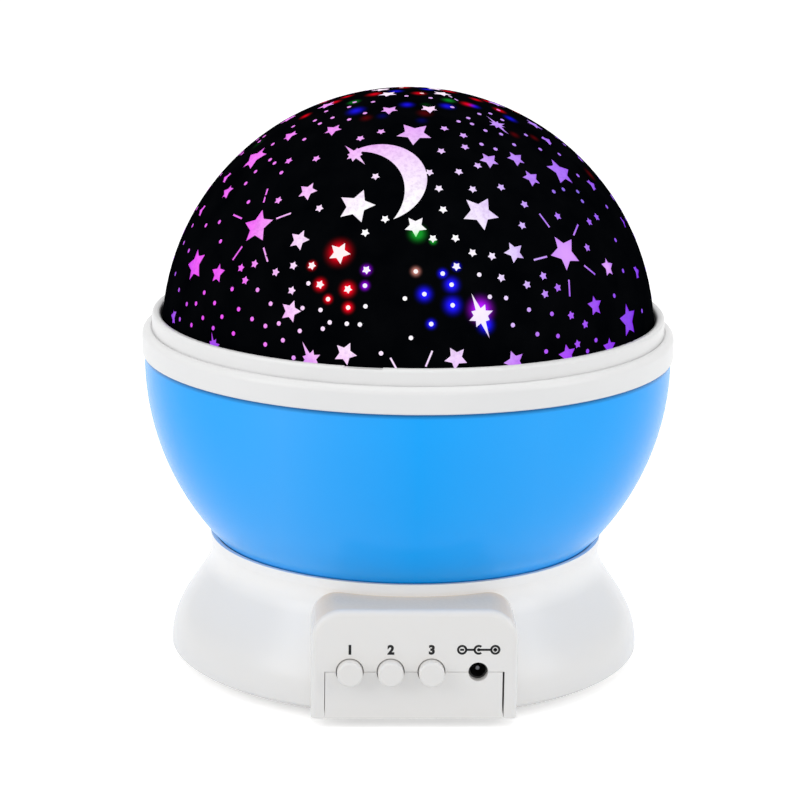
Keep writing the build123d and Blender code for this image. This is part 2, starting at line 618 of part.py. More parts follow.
def gearbox():
    """Flat reduction gearbox under the deck, with a bearing collar through it and two ears."""
    swing = [Pos(0, -GEAR_CENTRES) * Circle(8.0), Pos(0, -GEAR_CENTRES - MOTOR_OFFSET) * Circle(MOTOR_R + 2)]
    case = extrude(make_hull((swing[0] + swing[1]).edges()), GEARBOX_HEIGHT)
    case = Pos(0, 0, GEARBOX_LOW) * case
    ears = block((-EAR_X, EAR_X), (EAR_Y - EAR_R, EAR_Y + EAR_R), (EAR_TOP - EAR_THICK, EAR_TOP))
    for x in (-EAR_X, EAR_X):
        ears += disc(EAR_R, EAR_TOP - EAR_THICK, EAR_TOP, x, EAR_Y)
    case += ears
    case += disc(COLLAR_BEARING_R, GEARBOX_TOP, DECK_Z - 0.2, 0, -GEAR_CENTRES)
    case -= disc(SHAFT_R + RUN_GAP, GEARBOX_LOW + GEARBOX_WALL, LARGE, 0, -GEAR_CENTRES)
    for x in (-EAR_X, EAR_X):
        case -= disc(SMALL_SCREW_R + 0.2, 0, EAR_TOP + 1, x, EAR_Y)
        case -= disc(EAR_R - 0.55, EAR_TOP, LARGE, x, EAR_Y)
    return case


def drive_motor():
    """Round can motor with its rear bearing boss and two terminals."""
    y = -GEAR_CENTRES - MOTOR_OFFSET
    end = GEARBOX_LOW - MOTOR_LENGTH
    can = disc(MOTOR_R, end, GEARBOX_LOW, 0, y)
    can = fillet(can.edges().group_by(Axis.Z)[0], 1.2)
    can += disc(0.3 * MOTOR_R, end - 1.0, end + 0.1, 0, y)
    for x in (-0.6 * MOTOR_R, 0.6 * MOTOR_R):
        can += block((x - 0.9, x + 0.9), (y - 0.3, y + 0.3), (end - 1.6, end + 0.1))
    return can


def motor_screws():
    seat = EAR_TOP - EAR_THICK
    return [pan_screw(x, EAR_Y, seat, SMALL_SCREW_LENGTH, SMALL_SCREW_R, up=-1) for x in (-EAR_X, EAR_X)]


def thrust_washer():
    return tube(HUB_R, TURRET_R + 0.15, DECK_Z, WASHER_TOP)


def hub_washer():
    return tube(HUB_R - 0.3, TURRET_R + 0.15, HUB_TOP + RUN_GAP, CLIP_Z - 0.02)


def retaining_clip():
    """Open ring that snaps into the turret's groove above the hub."""
    clip = tube(HUB_R - 0.8, TURRET_R - 0.55, CLIP_Z, CLIP_Z + CLIP_THICK)
    return clip - block((-2.2, 2.2), (-HUB_R - 1, 0), (CLIP_Z - 1, CLIP_Z + CLIP_THICK + 1))


# ================================================================== bowl and rim ring
RIM_LIP_DROP = 4.0
GROOVE_W = 0.35
LEDGE_Z = BOWL_TOP - 1.0
LEDGE_THICK = 2.0
DOME_SEAT = LEDGE_Z + LEDGE_THICK
RIM_POST_R = 3.0
RIM_POST_CIRCLE = DOME_R - RIM_POST_R - 3.4
RIM_POST_HEIGHT = 14.0
FIN_THICK = 2.2
RIM_POST_ANGLES = (45, 135, 225, 315)
RIM_POSTS = around(RIM_POST_CIRCLE, RIM_POST_ANGLES)


def bowl():
    """Spherical blue bowl with a flat floor, and inside it the posts for the ring and the drive."""
    floor_top = BOWL_Z + BOWL_WALL
    inner_r = BOWL_R - BOWL_WALL
    middle = 0.5 * (BOWL_Z + BOWL_TOP)

    def on(radius, z):
        return (ball_radius(radius, BOWL_CENTRE, z), z)

    outside = ThreePointArc(on(BOWL_R, BOWL_Z), on(BOWL_R, middle), on(BOWL_R, BOWL_TOP))
    inside = ThreePointArc(on(inner_r, BOWL_TOP), on(inner_r, middle), on(inner_r, floor_top))
    hole_low = (FLOOR_OPENING_R, BOWL_Z)
    hole_high = (FLOOR_OPENING_R, floor_top)
    outline = [Line(hole_low, on(BOWL_R, BOWL_Z)), outside, Line(on(BOWL_R, BOWL_TOP), on(inner_r, BOWL_TOP)),
               inside, Line(on(inner_r, floor_top), hole_high), Line(hole_high, hole_low)]
    shell = turned(Wire(outline))
    for x, y in FLOOR_POSTS:
        shell += disc(FLOOR_POST_R, BOWL_Z + 1, WEB_Z, x, y)
        shell -= disc(POST_SCREW_R + 0.02, BOWL_Z + 1, WEB_Z + 1, x, y)
    for angle in RIM_POST_ANGLES:
        foot = LEDGE_Z - RIM_POST_HEIGHT
        post = disc(RIM_POST_R, foot, LEDGE_Z, RIM_POST_CIRCLE, 0)
        reach = ball_radius(BOWL_R - BOWL_WALL / 2, BOWL_CENTRE, foot + 2)
        post += block((RIM_POST_CIRCLE, reach), (-FIN_THICK / 2, FIN_THICK / 2), (foot + 2, LEDGE_Z - 4))
        post -= disc(POST_SCREW_R + 0.02, LEDGE_Z - RIM_SCREW_LENGTH, LEDGE_Z + 1, RIM_POST_CIRCLE, 0)
        shell += Rot(0, 0, angle) * post
    return shell


def rim_ring():
    """White ring on the bowl: a spigot inside the bowl, a shoulder, and the collar around the dome."""
    spigot_r = ball_radius(BOWL_R - BOWL_WALL, BOWL_CENTRE, BOWL_TOP - RIM_LIP_DROP) - 0.35
    lip_z = BOWL_TOP - RIM_LIP_DROP
    groove_r = COLLAR_R + GROOVE_W
    groove_z = RING_TOP - GROOVE_W
    ledge_r = RIM_POST_CIRCLE - RIM_POST_R
    points = [(spigot_r - LEDGE_THICK, lip_z), (spigot_r, lip_z), (spigot_r, BOWL_TOP),
              (RING_R, BOWL_TOP), (RING_R, RING_TOP), (groove_r, RING_TOP), (groove_r, groove_z),
              (COLLAR_R, groove_z), (COLLAR_R, COLLAR_TOP), (COLLAR_BORE, COLLAR_TOP),
              (COLLAR_BORE, DOME_SEAT), (ledge_r, DOME_SEAT), (ledge_r, LEDGE_Z),
              (spigot_r - LEDGE_THICK, LEDGE_Z)]
    face = make_face(Polyline(points, close=True))
    top = 0.4 * COLLAR_WALL
    soft = {(RING_R, BOWL_TOP): 0.5, (RING_R, RING_TOP): 0.7 * SHOULDER_W,
            (COLLAR_R, COLLAR_TOP): top, (COLLAR_BORE, COLLAR_TOP): top}
    for (r, z), radius in soft.items():
        corner = face.vertices().sort_by_distance(Vector(r, z, 0))[0]
        face = fillet(corner, radius)
    ring = revolve(Plane.XZ * face, Axis.Z, 360)
    for x, y in RIM_POSTS:
        ring -= disc(POST_SCREW_R + 0.25, LEDGE_Z - 1, DOME_SEAT + 1, x, y)
    notch = block((-4.5, 4.5), (-COLLAR_R - 1, -COLLAR_BORE + 1), (COLLAR_TOP - 0.3, COLLAR_TOP + 1))
    return ring - Rot(0, 0, -12) * notch


def rim_screws():
    return [pan_screw(x, y, DOME_SEAT, RIM_SCREW_LENGTH, POST_SCREW_R) for x, y in RIM_POSTS]


# ================================================================== dome and star mask
# The mask's windows, as (azimuth, elevation) seen from the dome's centre; azimuth 0 is the front (-Y)
# and grows towards +X. The pattern runs twice round the dome.
LARGE_STAR_R = 4.7
SMALL_STAR_R = 2.8
# each large star with its lean, clockwise
LARGE_STARS = [(-1, 64, 5), (-73, 49, 6), (58, 47.5, 8), (-18.5, 41.5, -12), (18, 40, -13),
               (-47.5, 33.5, -13), (40.5, 28.5, -15), (-67, 21, -11), (59, 10, -12)]
SMALL_STARS = [(-21, 74), (13, 75), (-45, 63), (-67, 58), (-81, 41.5), (-71, 39), (-36, 44), (-32.5, 32),
               (-20.5, 30), (-55.5, 21), (-30.5, 16), (-16.5, 8), (-1, 37), (73, 56), (28.5, 54),
               (41, 53.5), (41.5, 47.5), (72, 41.5), (79, 30), (25, 30), (55, 23), (71, 19), (46, 15.5),
               (8, 7.5), (21.5, 6), (35.5, 6), (49.5, 5.5), (-81.5, 32), (-73, 7.5)]
BURSTS = [(50.5, 65, 12, 4.3), (14, 16.5, -19, 5.8), (-24.5, 6, -30, 5.0), (-52, 5, -20, 4.8)]
MOON_AT = (-7.5, 49)
MOON_OUTER = (-4.5, -0.2, 11.7)
MOON_INNER = (-10.4, -3.7, 12.7)
MOON_BURST = (-10.2, 8.2, -37, 4.9)
BURST_POINTS = (1.0, 0.5, 0.55, 0.4, 1.0, 0.5, 0.52, 0.42)
CUTTER_DEPTH = 5.0


def direction(azimuth, elevation):
    az, el = math.radians(azimuth), math.radians(elevation)
    return Vector(math.sin(az) * math.cos(el), -math.cos(az) * math.cos(el), math.sin(el))


def window_plane(azimuth, elevation):
    """Plane inside the dome's skin, square to the ray from the centre, with its Y axis up the dome."""
    out = direction(azimuth, elevation)
    east = Vector(math.cos(math.radians(azimuth)), math.sin(math.radians(azimuth)), 0)
    origin = Vector(0, 0, DOME_Z) + out * (DOME_R - CUTTER_DEPTH)
    return Plane(origin=origin, x_dir=east, z_dir=out)


def polar_star(radii, turn):
    """Star outline from its list of radii, one per point, clockwise from the turn."""
    step = 360 / len(radii)
    points = []
    for i, r in enumerate(radii):
        a = math.radians(turn + i * step)
        points.append((r * math.sin(a), r * math.cos(a)))
    return make_face(Polyline(points, close=True))


def star_shape(radius, azimuth, lean=0.0):
    """Five-pointed star that turns with its azimuth."""
    return polar_star([radius, 0.5 * radius] * 5, 36 + 0.78 * azimuth + lean)


def burst_shape(radius, turn):
    """Eight-pointed sparkle with two long points."""
    radii = []
    for reach in BURST_POINTS:
        radii += [radius * reach, 0.3 * radius]
    return polar_star(radii, turn)


def moon_shape():
    """Crescent between two circles, with a sparkle at its upper tip."""
    crescent = Pos(*MOON_OUTER[:2]) * Circle(MOON_OUTER[2]) - Pos(*MOON_INNER[:2]) * Circle(MOON_INNER[2])
    x, y, turn, radius = MOON_BURST
    sparkle = Pos(x, y) * burst_shape(radius, turn)
    return crescent, sparkle


def star_cutters():
    shapes = [(a, e, star_shape(LARGE_STAR_R, a, lean)) for a, e, lean in LARGE_STARS]
    shapes += [(a, e, star_shape(SMALL_STAR_R, a)) for a, e in SMALL_STARS]
    shapes += [(a, e, burst_shape(r, turn)) for a, e, turn, r in BURSTS]
    shapes += [(*MOON_AT, shape) for shape in moon_shape()]
    cutters = []
    for azimuth, elevation, shape in shapes:
        for half_turn in (0, 180):
            cutters.append(extrude(window_plane(azimuth + half_turn, elevation) * shape, CUTTER_DEPTH + 3))
    return cutters


def dome_skin(outer_r, wall):
    """Dome shell: half a sphere above its centre and a short straight skirt down to the ring's ledge."""
    inner_r = outer_r - wall
    foot = DOME_SEAT + SKIN_GAP

    def on(radius, elevation):
        a = math.radians(elevation)
        return (radius * math.cos(a), DOME_Z + radius * math.sin(a))

    crown_out, crown_in = (0, DOME_Z + outer_r), (0, DOME_Z + inner_r)
    outline = [Line((outer_r, foot), (outer_r, DOME_Z)),
               ThreePointArc((outer_r, DOME_Z), on(outer_r, 45), crown_out),
               Line(crown_out, crown_in),
               ThreePointArc(crown_in, on(inner_r, 45), (inner_r, DOME_Z)),
               Line((inner_r, DOME_Z), (inner_r, foot)),
               Line((inner_r, foot), (outer_r, foot))]
    return turned(Wire(outline))


def star_mask():
    """Thin black skin of the dome, open at every star, sparkle and crescent."""
    return dome_skin(DOME_R, MASK_WALL) - star_cutters()


def dome_diffuser():
    return dome_skin(DOME_R - MASK_WALL - SKIN_GAP, DIFFUSER_WALL)


# ================================================================== lamp
LED_PLACES = {"led_red": 200, "led_green": 270, "led_blue": 340, "led_warm_white": 90}
LAMP_SEAT_THICK = 2.0
LAMP_SCREWS = around(LAMP_BOARD_R - 3, (45, 225))


def lamp_post():
    """Hollow post in the turret's bore, with a round seat for the lamp board."""
    post = disc(POST_R, POST_SEAT, LAMP_BOARD_Z)
    post += disc(LAMP_BOARD_R + 0.8, LAMP_BOARD_Z - LAMP_SEAT_THICK, LAMP_BOARD_Z)
    flare = Cone(POST_R, LAMP_BOARD_R - 2, POST_R + 1, align=(Align.CENTER, Align.CENTER, Align.MAX))
    post += Pos(0, 0, LAMP_BOARD_Z - LAMP_SEAT_THICK) * flare
    post -= disc(POST_BORE, 0, LARGE)
    for x, y in LAMP_SCREWS:
        post -= disc(SMALL_SCREW_R + 0.02, LAMP_BOARD_Z - SMALL_SCREW_LENGTH, LAMP_BOARD_Z + 1, x, y)
    return post


def lamp_board():
    board = disc(LAMP_BOARD_R, LAMP_BOARD_Z, LAMP_BOARD_Z + BOARD_THICK)
    board -= disc(2.0, LAMP_BOARD_Z - 1, LAMP_BOARD_Z + 3)
    for x, y in LAMP_SCREWS:
        board -= disc(SMALL_SCREW_R + 0.2, LAMP_BOARD_Z - 1, LAMP_BOARD_Z + 3, x, y)
    return board


def lamp_screws():
    seat = LAMP_BOARD_Z + BOARD_THICK
    return [pan_screw(x, y, seat, SMALL_SCREW_LENGTH, SMALL_SCREW_R) for x, y in LAMP_SCREWS]


def led(angle):
    """Round five-millimetre lamp with its flange and domed lens."""
    x, y = around(LED_CIRCLE, (angle,))[0]
    base = LAMP_BOARD_Z + BOARD_THICK
    body = disc(LED_R + 0.4, base, base + 1.0, x, y) + disc(LED_R, base, base + LED_LENGTH, x, y)
    return body + Pos(x, y, base + LED_LENGTH) * Sphere(LED_R)


def lead(points, radius):
    """Round lead along straight runs joined by arcs."""
    corners = []
    vectors = [Vector(*p) for p in points]
    for a, b, c in zip(vectors, vectors[1:], vectors[2:]):
        turn = math.radians((b - a).get_angle(c - b))
        corners.append(0.45 * min((b - a).length, (c - b).length) / math.tan(turn / 2))
    path = FilletPolyline(*points, radius=corners)
    section = Plane(origin=path @ 0, z_dir=path % 0) * Circle(radius)
    return sweep(section, path=path)


def lamp_lead():
    """Five-core lead from the control board, up inside the post, to the lamp board."""
    start_x = -BOARD_X + 4.5
    start_z = BOARD_LOW + 0.8 * BOARD_HEIGHT
    over_bay = BAY_CEILING + BAY_WALL + 2 * LEAD_R
    beside = -MOTOR_R - 2 - 2 * LEAD_R
    inside = DECK_Z + 6.0
    route = [(start_x, BOARD_BACK + 0.05, start_z), (start_x, BOARD_BACK + 6.0, start_z),
             (beside - 2, -GEAR_CENTRES - MOTOR_OFFSET, over_bay + 1),
             (beside + 2.5, BAY_FRONT + 3, over_bay), (-4.0, -3.0, over_bay + 0.4),
             (-0.6, -0.6, DECK_UNDER - 4), (0, 0, inside), (0, 0.2, (inside + LAMP_BOARD_Z) / 2),
             (0, 0, LAMP_BOARD_Z - 0.2)]
    return lead(route, LEAD_R)


def battery_lead():
    """Two-core lead from the battery bay's ceiling to the board's terminal."""
    over_bay = BAY_CEILING + BAY_WALL + THIN_LEAD_R + 0.2
    start_x = 0.78 * BAY_X
    route = [(start_x, BAY_FRONT + 8, over_bay), (start_x, BAY_FRONT - 3, over_bay + 0.6),
             (MOTOR_R + 6.5, -GEAR_CENTRES - MOTOR_OFFSET, TERMINAL_Z),
             (TERMINAL_X, TERMINAL_BACK + 7, TERMINAL_Z), (TERMINAL_X, TERMINAL_BACK + 0.05, TERMINAL_Z)]
    return lead(route, THIN_LEAD_R)


# ================================================================== write every piece
def pieces():
    nodes = {
        "base_housing": base_housing(),
        "bottom_cover": bottom_cover(),
        "rubber_feet": rubber_feet(),
        "cover_screws": cover_screws(),
        "battery_door": battery_door(),
        "door_screw": door_screw(),
        "batteries": batteries(),
        "battery_contacts": battery_contacts(),
        "control_board": control_board(),
        "board_components": board_components(),
        "push_switches": push_switches(),
        "dc_jack": dc_jack(),
        "jack_pin": jack_pin(),
        "gearbox": gearbox(),
        "drive_motor": drive_motor(),
        "motor_screws": motor_screws(),
        "drive_shaft": drive_shaft(),
        "drive_pinion": drive_pinion(),
        "drive_ring": drive_ring(),
        "ring_screws": ring_screws(),
        "thrust_washer": thrust_washer(),
        "hub_washer": hub_washer(),
        "retaining_clip": retaining_clip(),
        "blue_bowl": bowl(),
        "rim_ring": rim_ring(),
        "rim_screws": rim_screws(),
        "dome_diffuser": dome_diffuser(),
        "star_mask": star_mask(),
        "lamp_post": lamp_post(),
        "lamp_board": lamp_board(),
        "lamp_screws": lamp_screws(),
        "lamp_lead": lamp_lead(),
        "battery_lead": battery_lead(),
    }
    for i, x in enumerate(BUTTON_XS, start=1):
        nodes[f"button_cap_{i}"] = button_cap(x)
        nodes[f"switch_plunger_{i}"] = switch_plunger(x)
    for name, angle in LED_PLACES.items():
        nodes[name] = led(angle)
    return nodes


def write(name, shape):
    if isinstance(shape, (list, tuple)):
        shape = Compound(children=list(shape))
    export_step(shape, f"parts/{name}.step")


os.makedirs("parts", exist_ok=True)
for node_name, node_shape in pieces().items():
    write(node_name, node_shape)
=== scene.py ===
import math

import bmesh
import bpy
from mathutils import Matrix, Vector


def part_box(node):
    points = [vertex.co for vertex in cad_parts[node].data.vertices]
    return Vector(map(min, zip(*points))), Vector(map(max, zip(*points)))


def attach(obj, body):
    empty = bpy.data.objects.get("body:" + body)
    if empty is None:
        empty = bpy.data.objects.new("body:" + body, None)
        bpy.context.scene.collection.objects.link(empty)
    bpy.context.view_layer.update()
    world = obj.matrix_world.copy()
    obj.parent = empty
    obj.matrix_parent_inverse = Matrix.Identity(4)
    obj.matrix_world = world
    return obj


# The looks of a star night light projector. Metres, +Z up, the control panel faces -Y.
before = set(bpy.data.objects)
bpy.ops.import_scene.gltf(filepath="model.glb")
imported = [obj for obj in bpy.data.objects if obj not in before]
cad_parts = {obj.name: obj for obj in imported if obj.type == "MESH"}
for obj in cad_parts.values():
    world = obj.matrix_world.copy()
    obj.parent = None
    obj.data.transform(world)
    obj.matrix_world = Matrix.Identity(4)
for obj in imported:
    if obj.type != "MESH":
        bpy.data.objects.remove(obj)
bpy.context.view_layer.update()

MM = 0.001
UP = Vector((0, 0, 1))

# ------------------------------------------------------------------ places taken from the frame
mask_low, mask_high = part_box("star_mask")
DOME_R = (mask_high.x - mask_low.x) / 2
DOME_CENTRE = Vector((0, 0, mask_high.z - DOME_R))
PANEL_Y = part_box("base_housing")[0].y
BOWL_RIM_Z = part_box("blue_bowl")[1].z
BODY_OF_DOME = "turning_bowl"
CAPS = [f"button_cap_{i}" for i in (1, 2, 3)]
PLUNGERS = [f"switch_plunger_{i}" for i in (1, 2, 3)]


def middle(node):
    low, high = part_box(node)
    return (low + high) / 2


def direction(azimuth, elevation):
    """Unit vector from the object outwards. Azimuth 0 is the front and grows towards +X."""
    a, e = math.radians(azimuth), math.radians(elevation)
    return Vector((math.sin(a) * math.cos(e), -math.cos(a) * math.cos(e), math.sin(e)))


def on_dome(azimuth, elevation):
    return DOME_CENTRE + direction(azimuth, elevation) * DOME_R


def add_object(name, data):
    """New object of the scene with this data."""
    added = bpy.data.objects.new(name, data)
    bpy.context.scene.collection.objects.link(added)
    return added


# ------------------------------------------------------------------ camera
CAMERA_AZIMUTH = -2.65     # degrees, negative is to the object's left
CAMERA_ELEVATION = 14.48
CAMERA_ROLL = 0.83
CAMERA_DISTANCE = 0.8
CAMERA_CLIP = (0.05, 20)
SENSOR = 36.0              # millimetres
FRAME_PX = 800
AIM = Vector((0, 0, 59.2 * MM))
AIM_PX = (406.8, 421.04)   # where the aim shows in the picture
PX_PER_METRE = 4063.2      # at the aim


def make_camera():
    back = direction(CAMERA_AZIMUTH, CAMERA_ELEVATION)
    a = math.radians(CAMERA_AZIMUTH)
    level_right = Vector((math.cos(a), math.sin(a), 0))
    level_up = back.cross(level_right)
    r = math.radians(CAMERA_ROLL)
    right = level_right * math.cos(r) + level_up * math.sin(r)
    up = level_up * math.cos(r) - level_right * math.sin(r)
    data = bpy.data.cameras.new("camera")
    data.sensor_width = SENSOR
    data.lens = SENSOR * CAMERA_DISTANCE * PX_PER_METRE / FRAME_PX
    data.shift_x = 0.5 - AIM_PX[0] / FRAME_PX
    data.shift_y = AIM_PX[1] / FRAME_PX - 0.5
    data.clip_start, data.clip_end = CAMERA_CLIP
    camera = add_object("camera", data)
    rotation = Matrix((right, up, back)).transposed().to_4x4()
    camera.matrix_world = Matrix.Translation(AIM + back * CAMERA_DISTANCE) @ rotation
    bpy.context.scene.camera = camera


# ------------------------------------------------------------------ colours and shader nodes
def srgb(red, green, blue):
    """Linear colour from 0-255 display values."""
    def linear(value):
        v = value / 255
        return v / 12.92 if v <= 0.04045 else ((v + 0.055) / 1.055) ** 2.4
    return (linear(red), linear(green), linear(blue), 1.0)


def grey(value):
    return srgb(value, value, value)


def shaded(colour, factor):
    """The colour made darker, or brighter up to full."""
    return tuple(min(1.0, c * factor) for c in colour[:3]) + (1.0,)


def paler(colour, white):
    """The colour with a share of white in it."""
    return tuple(white + (1 - white) * c for c in colour[:3]) + (1.0,)


WHITE = (1, 1, 1, 1)
BLACK = (0, 0, 0, 1)
MIDDLE_RANGE = (0.3, 0.7)  # of a noise texture: most of its values
WIDE_RANGE = (0.1, 0.9)    # all of them, as a roughness that stops short of them shows as blots


def new_material(name):
    material = bpy.data.materials.new(name)
    material.use_nodes = True
    tree = material.node_tree
    return material, tree, tree.nodes["Principled BSDF"]


def feed(tree, node, values):
    """Gives the node's inputs their values, each a number, a colour or the output of another node."""
    for key, value in values.items():
        if isinstance(value, bpy.types.NodeSocket):
            tree.links.new(value, node.inputs[key])
        else:
            node.inputs[key].default_value = value


def source_of(socket):
    """The output that feeds an input."""
    return socket.links[0].from_socket


def object_place(tree):
    return tree.nodes.new("ShaderNodeTexCoord").outputs["Object"]


def axes_of(tree, vector):
    """Outputs X, Y and Z of a vector."""
    parts = tree.nodes.new("ShaderNodeSeparateXYZ")
    tree.links.new(vector, parts.inputs[0])
    return parts.outputs


def noise(tree, scale, detail=2.0, roughness=0.5):
    texture = tree.nodes.new("ShaderNodeTexNoise")
    feed(tree, texture, {
        "Vector": object_place(tree), "Scale": scale, "Detail": detail, "Roughness": roughness,
    })
    return texture.outputs["Fac"]


def maths(tree, operation, first, second):
    """Math node on two values, each a socket or a number."""
    node = tree.nodes.new("ShaderNodeMath")
    node.operation = operation
    feed(tree, node, {0: first, 1: second})
    return node.outputs[0]


def scaled(tree, vector, factors):
    """The vector with each axis times its factor."""
    node = tree.nodes.new("ShaderNodeVectorMath")
    node.operation = "MULTIPLY"
    feed(tree, node, {0: vector, 1: factors})
    return node.outputs["Vector"]


def distance(tree, place, point):
    span = tree.nodes.new("ShaderNodeVectorMath")
    span.operation = "DISTANCE"
    feed(tree, span, {0: place, 1: point})
    return span.outputs["Value"]


def mix_colour(tree, factor, first, second, blend="MIX"):
    """Mix node for colours: its inputs 0, 6 and 7 are the factor and the two colours."""
    node = tree.nodes.new("ShaderNodeMix")
    node.data_type = "RGBA"
    node.blend_type = blend
    node.clamp_result = False
    feed(tree, node, {0: factor, 6: first, 7: second})
    return node.outputs[2]


def ramp(tree, value, stops):
    """Colour ramp with (position, colour) stops."""
    node = tree.nodes.new("ShaderNodeValToRGB")
    elements = node.color_ramp.elements
    while len(elements) < len(stops):
        elements.new(0.5)  # moved to its own place below
    for element, (position, colour) in zip(elements, stops):
        element.position = position
        element.color = colour
    tree.links.new(value, node.inputs["Fac"])
    return node.outputs["Color"]


def mottled(tree, texture, first, second):
    """Two tones that follow a texture."""
    return ramp(tree, texture, list(zip(MIDDLE_RANGE, (first, second))))


def spread(tree, value, low, high, source=MIDDLE_RANGE, smooth=False):
    """Maps the source range to low..high, and what lies outside it to its ends."""
    node = tree.nodes.new("ShaderNodeMapRange")
    if smooth:
        node.interpolation_type = "SMOOTHSTEP"
    feed(tree, node, {
        "Value": value, "From Min": source[0], "From Max": source[1], "To Min": low, "To Max": high,
    })
    return node.outputs["Result"]


def share_of(tree, value, source):
    """0 at the start of the source range and 1 at its end."""
    return spread(tree, value, 0.0, 1.0, source)


def bumped(tree, shader, heights):
    """Chains (height, distance, strength) bumps into the shader's normal."""
    normal = None
    for height, reach, strength in heights:
        bump = tree.nodes.new("ShaderNodeBump")
        feed(tree, bump, {"Height": height, "Distance": reach, "Strength": strength})
        if normal is not None:
            tree.links.new(normal, bump.inputs["Normal"])
        normal = bump.outputs["Normal"]
    tree.links.new(normal, shader.inputs["Normal"])


# ------------------------------------------------------------------ light and floor
# name, azimuth and elevation in degrees, distance and size in metres, radiance
SOFT_BOXES = [
    ("key_left", -62, 26, 0.95, (0.46, 0.60), 2.6),
    ("fill_right", 66, 22, 0.95, (0.42, 0.60), 2.4),
    ("front_low", 0, 4, 1.10, (0.90, 0.30), 0.7),
    ("top", 0, 84, 1.0, (0.9, 0.9), 0.8),
]
LIGHT_LEVEL = 0.65         # of the world on the object
FLOOR_REACH = 3.0
FLOOR_COLOUR = (0.86, 0.86, 0.86, 1)
FLOOR_LIFT = 0.5           # share of white that the camera adds to the floor


def soft_box(name, azimuth, elevation, away, size, radiance):
    """Rectangular lamp that faces the camera's aim."""
    data = bpy.data.lights.new(name, "AREA")
    data.shape = "RECTANGLE"
    data.size, data.size_y = size
    data.energy = radiance * math.pi * size[0] * size[1]
    lamp = add_object(name, data)
    back = direction(azimuth, elevation)
    lamp.location = AIM + back * away
    lamp.rotation_mode = "QUATERNION"
    lamp.rotation_quaternion = back.to_track_quat("Z", "Y")


def make_lights():
    for box in SOFT_BOXES:
        soft_box(*box)


def seen(tree):
    """1 for rays that show the surface to the camera, also in a gloss or through clear parts, else 0."""
    path = tree.nodes.new("ShaderNodeLightPath").outputs
    mirrored = maths(tree, "MAXIMUM", path["Is Glossy Ray"], path["Is Transmission Ray"])
    return maths(tree, "MAXIMUM", path["Is Camera Ray"], mirrored)


def make_world():
    world = bpy.data.worlds.new("studio")
    bpy.context.scene.world = world
    world.use_nodes = True
    tree = world.node_tree
    level = spread(tree, seen(tree), LIGHT_LEVEL, 1.0, (0.0, 1.0))
    feed(tree, tree.nodes["Background"], {"Color": WHITE, "Strength": level})


def floor_material():
    """Pale and matt from above, and clear from below, so the underside can be looked at through it."""
    material, tree, shader = new_material("studio_floor")
    feed(tree, shader, {
        "Base Color": FLOOR_COLOUR, "Roughness": 0.9, "Specular IOR Level": 0.0,
        "Emission Color": WHITE, "Emission Strength": maths(tree, "MULTIPLY", seen(tree), FLOOR_LIFT),
    })
    from_below = tree.nodes.new("ShaderNodeNewGeometry").outputs["Backfacing"]
    clear = tree.nodes.new("ShaderNodeBsdfTransparent")
    sided = tree.nodes.new("ShaderNodeMixShader")
    feed(tree, sided, {0: from_below, 1: shader.outputs[0], 2: clear.outputs[0]})
    tree.links.new(sided.outputs[0], tree.nodes["Material Output"].inputs["Surface"])
    return material


def make_floor():
    mesh = bpy.data.meshes.new("floor")
    shape = bmesh.new()
    bmesh.ops.create_grid(shape, x_segments=1, y_segments=1, size=FLOOR_REACH)
    shape.to_mesh(mesh)
    shape.free()
    mesh.materials.append(floor_material())
    floor = add_object("floor", mesh)


# ------------------------------------------------------------------ plastics
GLOSS_CHANGE = 0.06        # share by which a plastic's roughness changes over its surface


def moulded(name, colour, gloss, flow=0.006, specular=0.5, wave=0.03, grain=0.03):
    """Injection-moulded plastic: faint flow marks, a slightly uneven gloss and a fine skin."""
    material, tree, shader = new_material(name)
    marks = noise(tree, scale=38.0, detail=3.0)
    smooth, rough = gloss * (1 - GLOSS_CHANGE), gloss * (1 + GLOSS_CHANGE)
    feed(tree, shader, {
        "Base Color": mottled(tree, marks, shaded(colour, 1 - flow), shaded(colour, 1 + flow)),
        "Roughness": spread(tree, noise(tree, scale=90.0), smooth, rough, WIDE_RANGE),
        "Specular IOR Level": specular,
    })
    bumped(tree, shader, [
        (noise(tree, scale=26.0, detail=1.0), 0.6 * MM, wave),
        (noise(tree, scale=2600.0), 0.02 * MM, grain),
    ])
    return material


BASE_WHITE = srgb(250, 248, 245)
BASE_SPECULAR = 0.42
# painted light of the base, over a range of distances from the axis: palest at the neck, where the bowl
# shades it, and darker outwards
NECK_RANGE = (47 * MM, 55 * MM)
NECK_PAINTED_LIGHT = [(0.05, WHITE), (0.3, grey(239)), (1.0, grey(234))]
# the roof of the control panel, with a matt finish and a painted shade: each range is where they come in
ROOF_NORMAL_Z = (0.25, 0.85)
ROOF_RADIUS = (47.0 * MM, 48.2 * MM)
ROOF_BACK_Y = (-42 * MM, -44 * MM)
ROOF_FRONT_Y = (PANEL_Y + 0.4 * MM, PANEL_Y + 2.0 * MM)
ROOF_Z = (22 * MM, 26 * MM)
# painted shade of the roof: darker, and warm to cancel the blue light that the bowl throws on it
ROOF_PAINTED_SHADE = (srgb(234, 217, 198), srgb(238, 221, 202))
ROOF_SPECULAR = 0.02


def off_axis(tree):
    """Distance of the surface point from the Z axis."""
    radius = tree.nodes.new("ShaderNodeVectorMath")
    radius.operation = "LENGTH"
    tree.links.new(scaled(tree, object_place(tree), (1, 1, 0)), radius.inputs[0])
    return radius.outputs["Value"]


def roof_share(tree, radius):
    """1 on the roof of the control panel, 0 elsewhere."""
    place = axes_of(tree, object_place(tree))
    normal = axes_of(tree, tree.nodes.new("ShaderNodeNewGeometry").outputs["Normal"])
    share = share_of(tree, normal["Z"], ROOF_NORMAL_Z)
    for value, source in (
        (radius, ROOF_RADIUS), (place["Y"], ROOF_BACK_Y), (place["Y"], ROOF_FRONT_Y), (place["Z"], ROOF_Z),
    ):
        share = maths(tree, "MULTIPLY", share, share_of(tree, value, source))
    return share


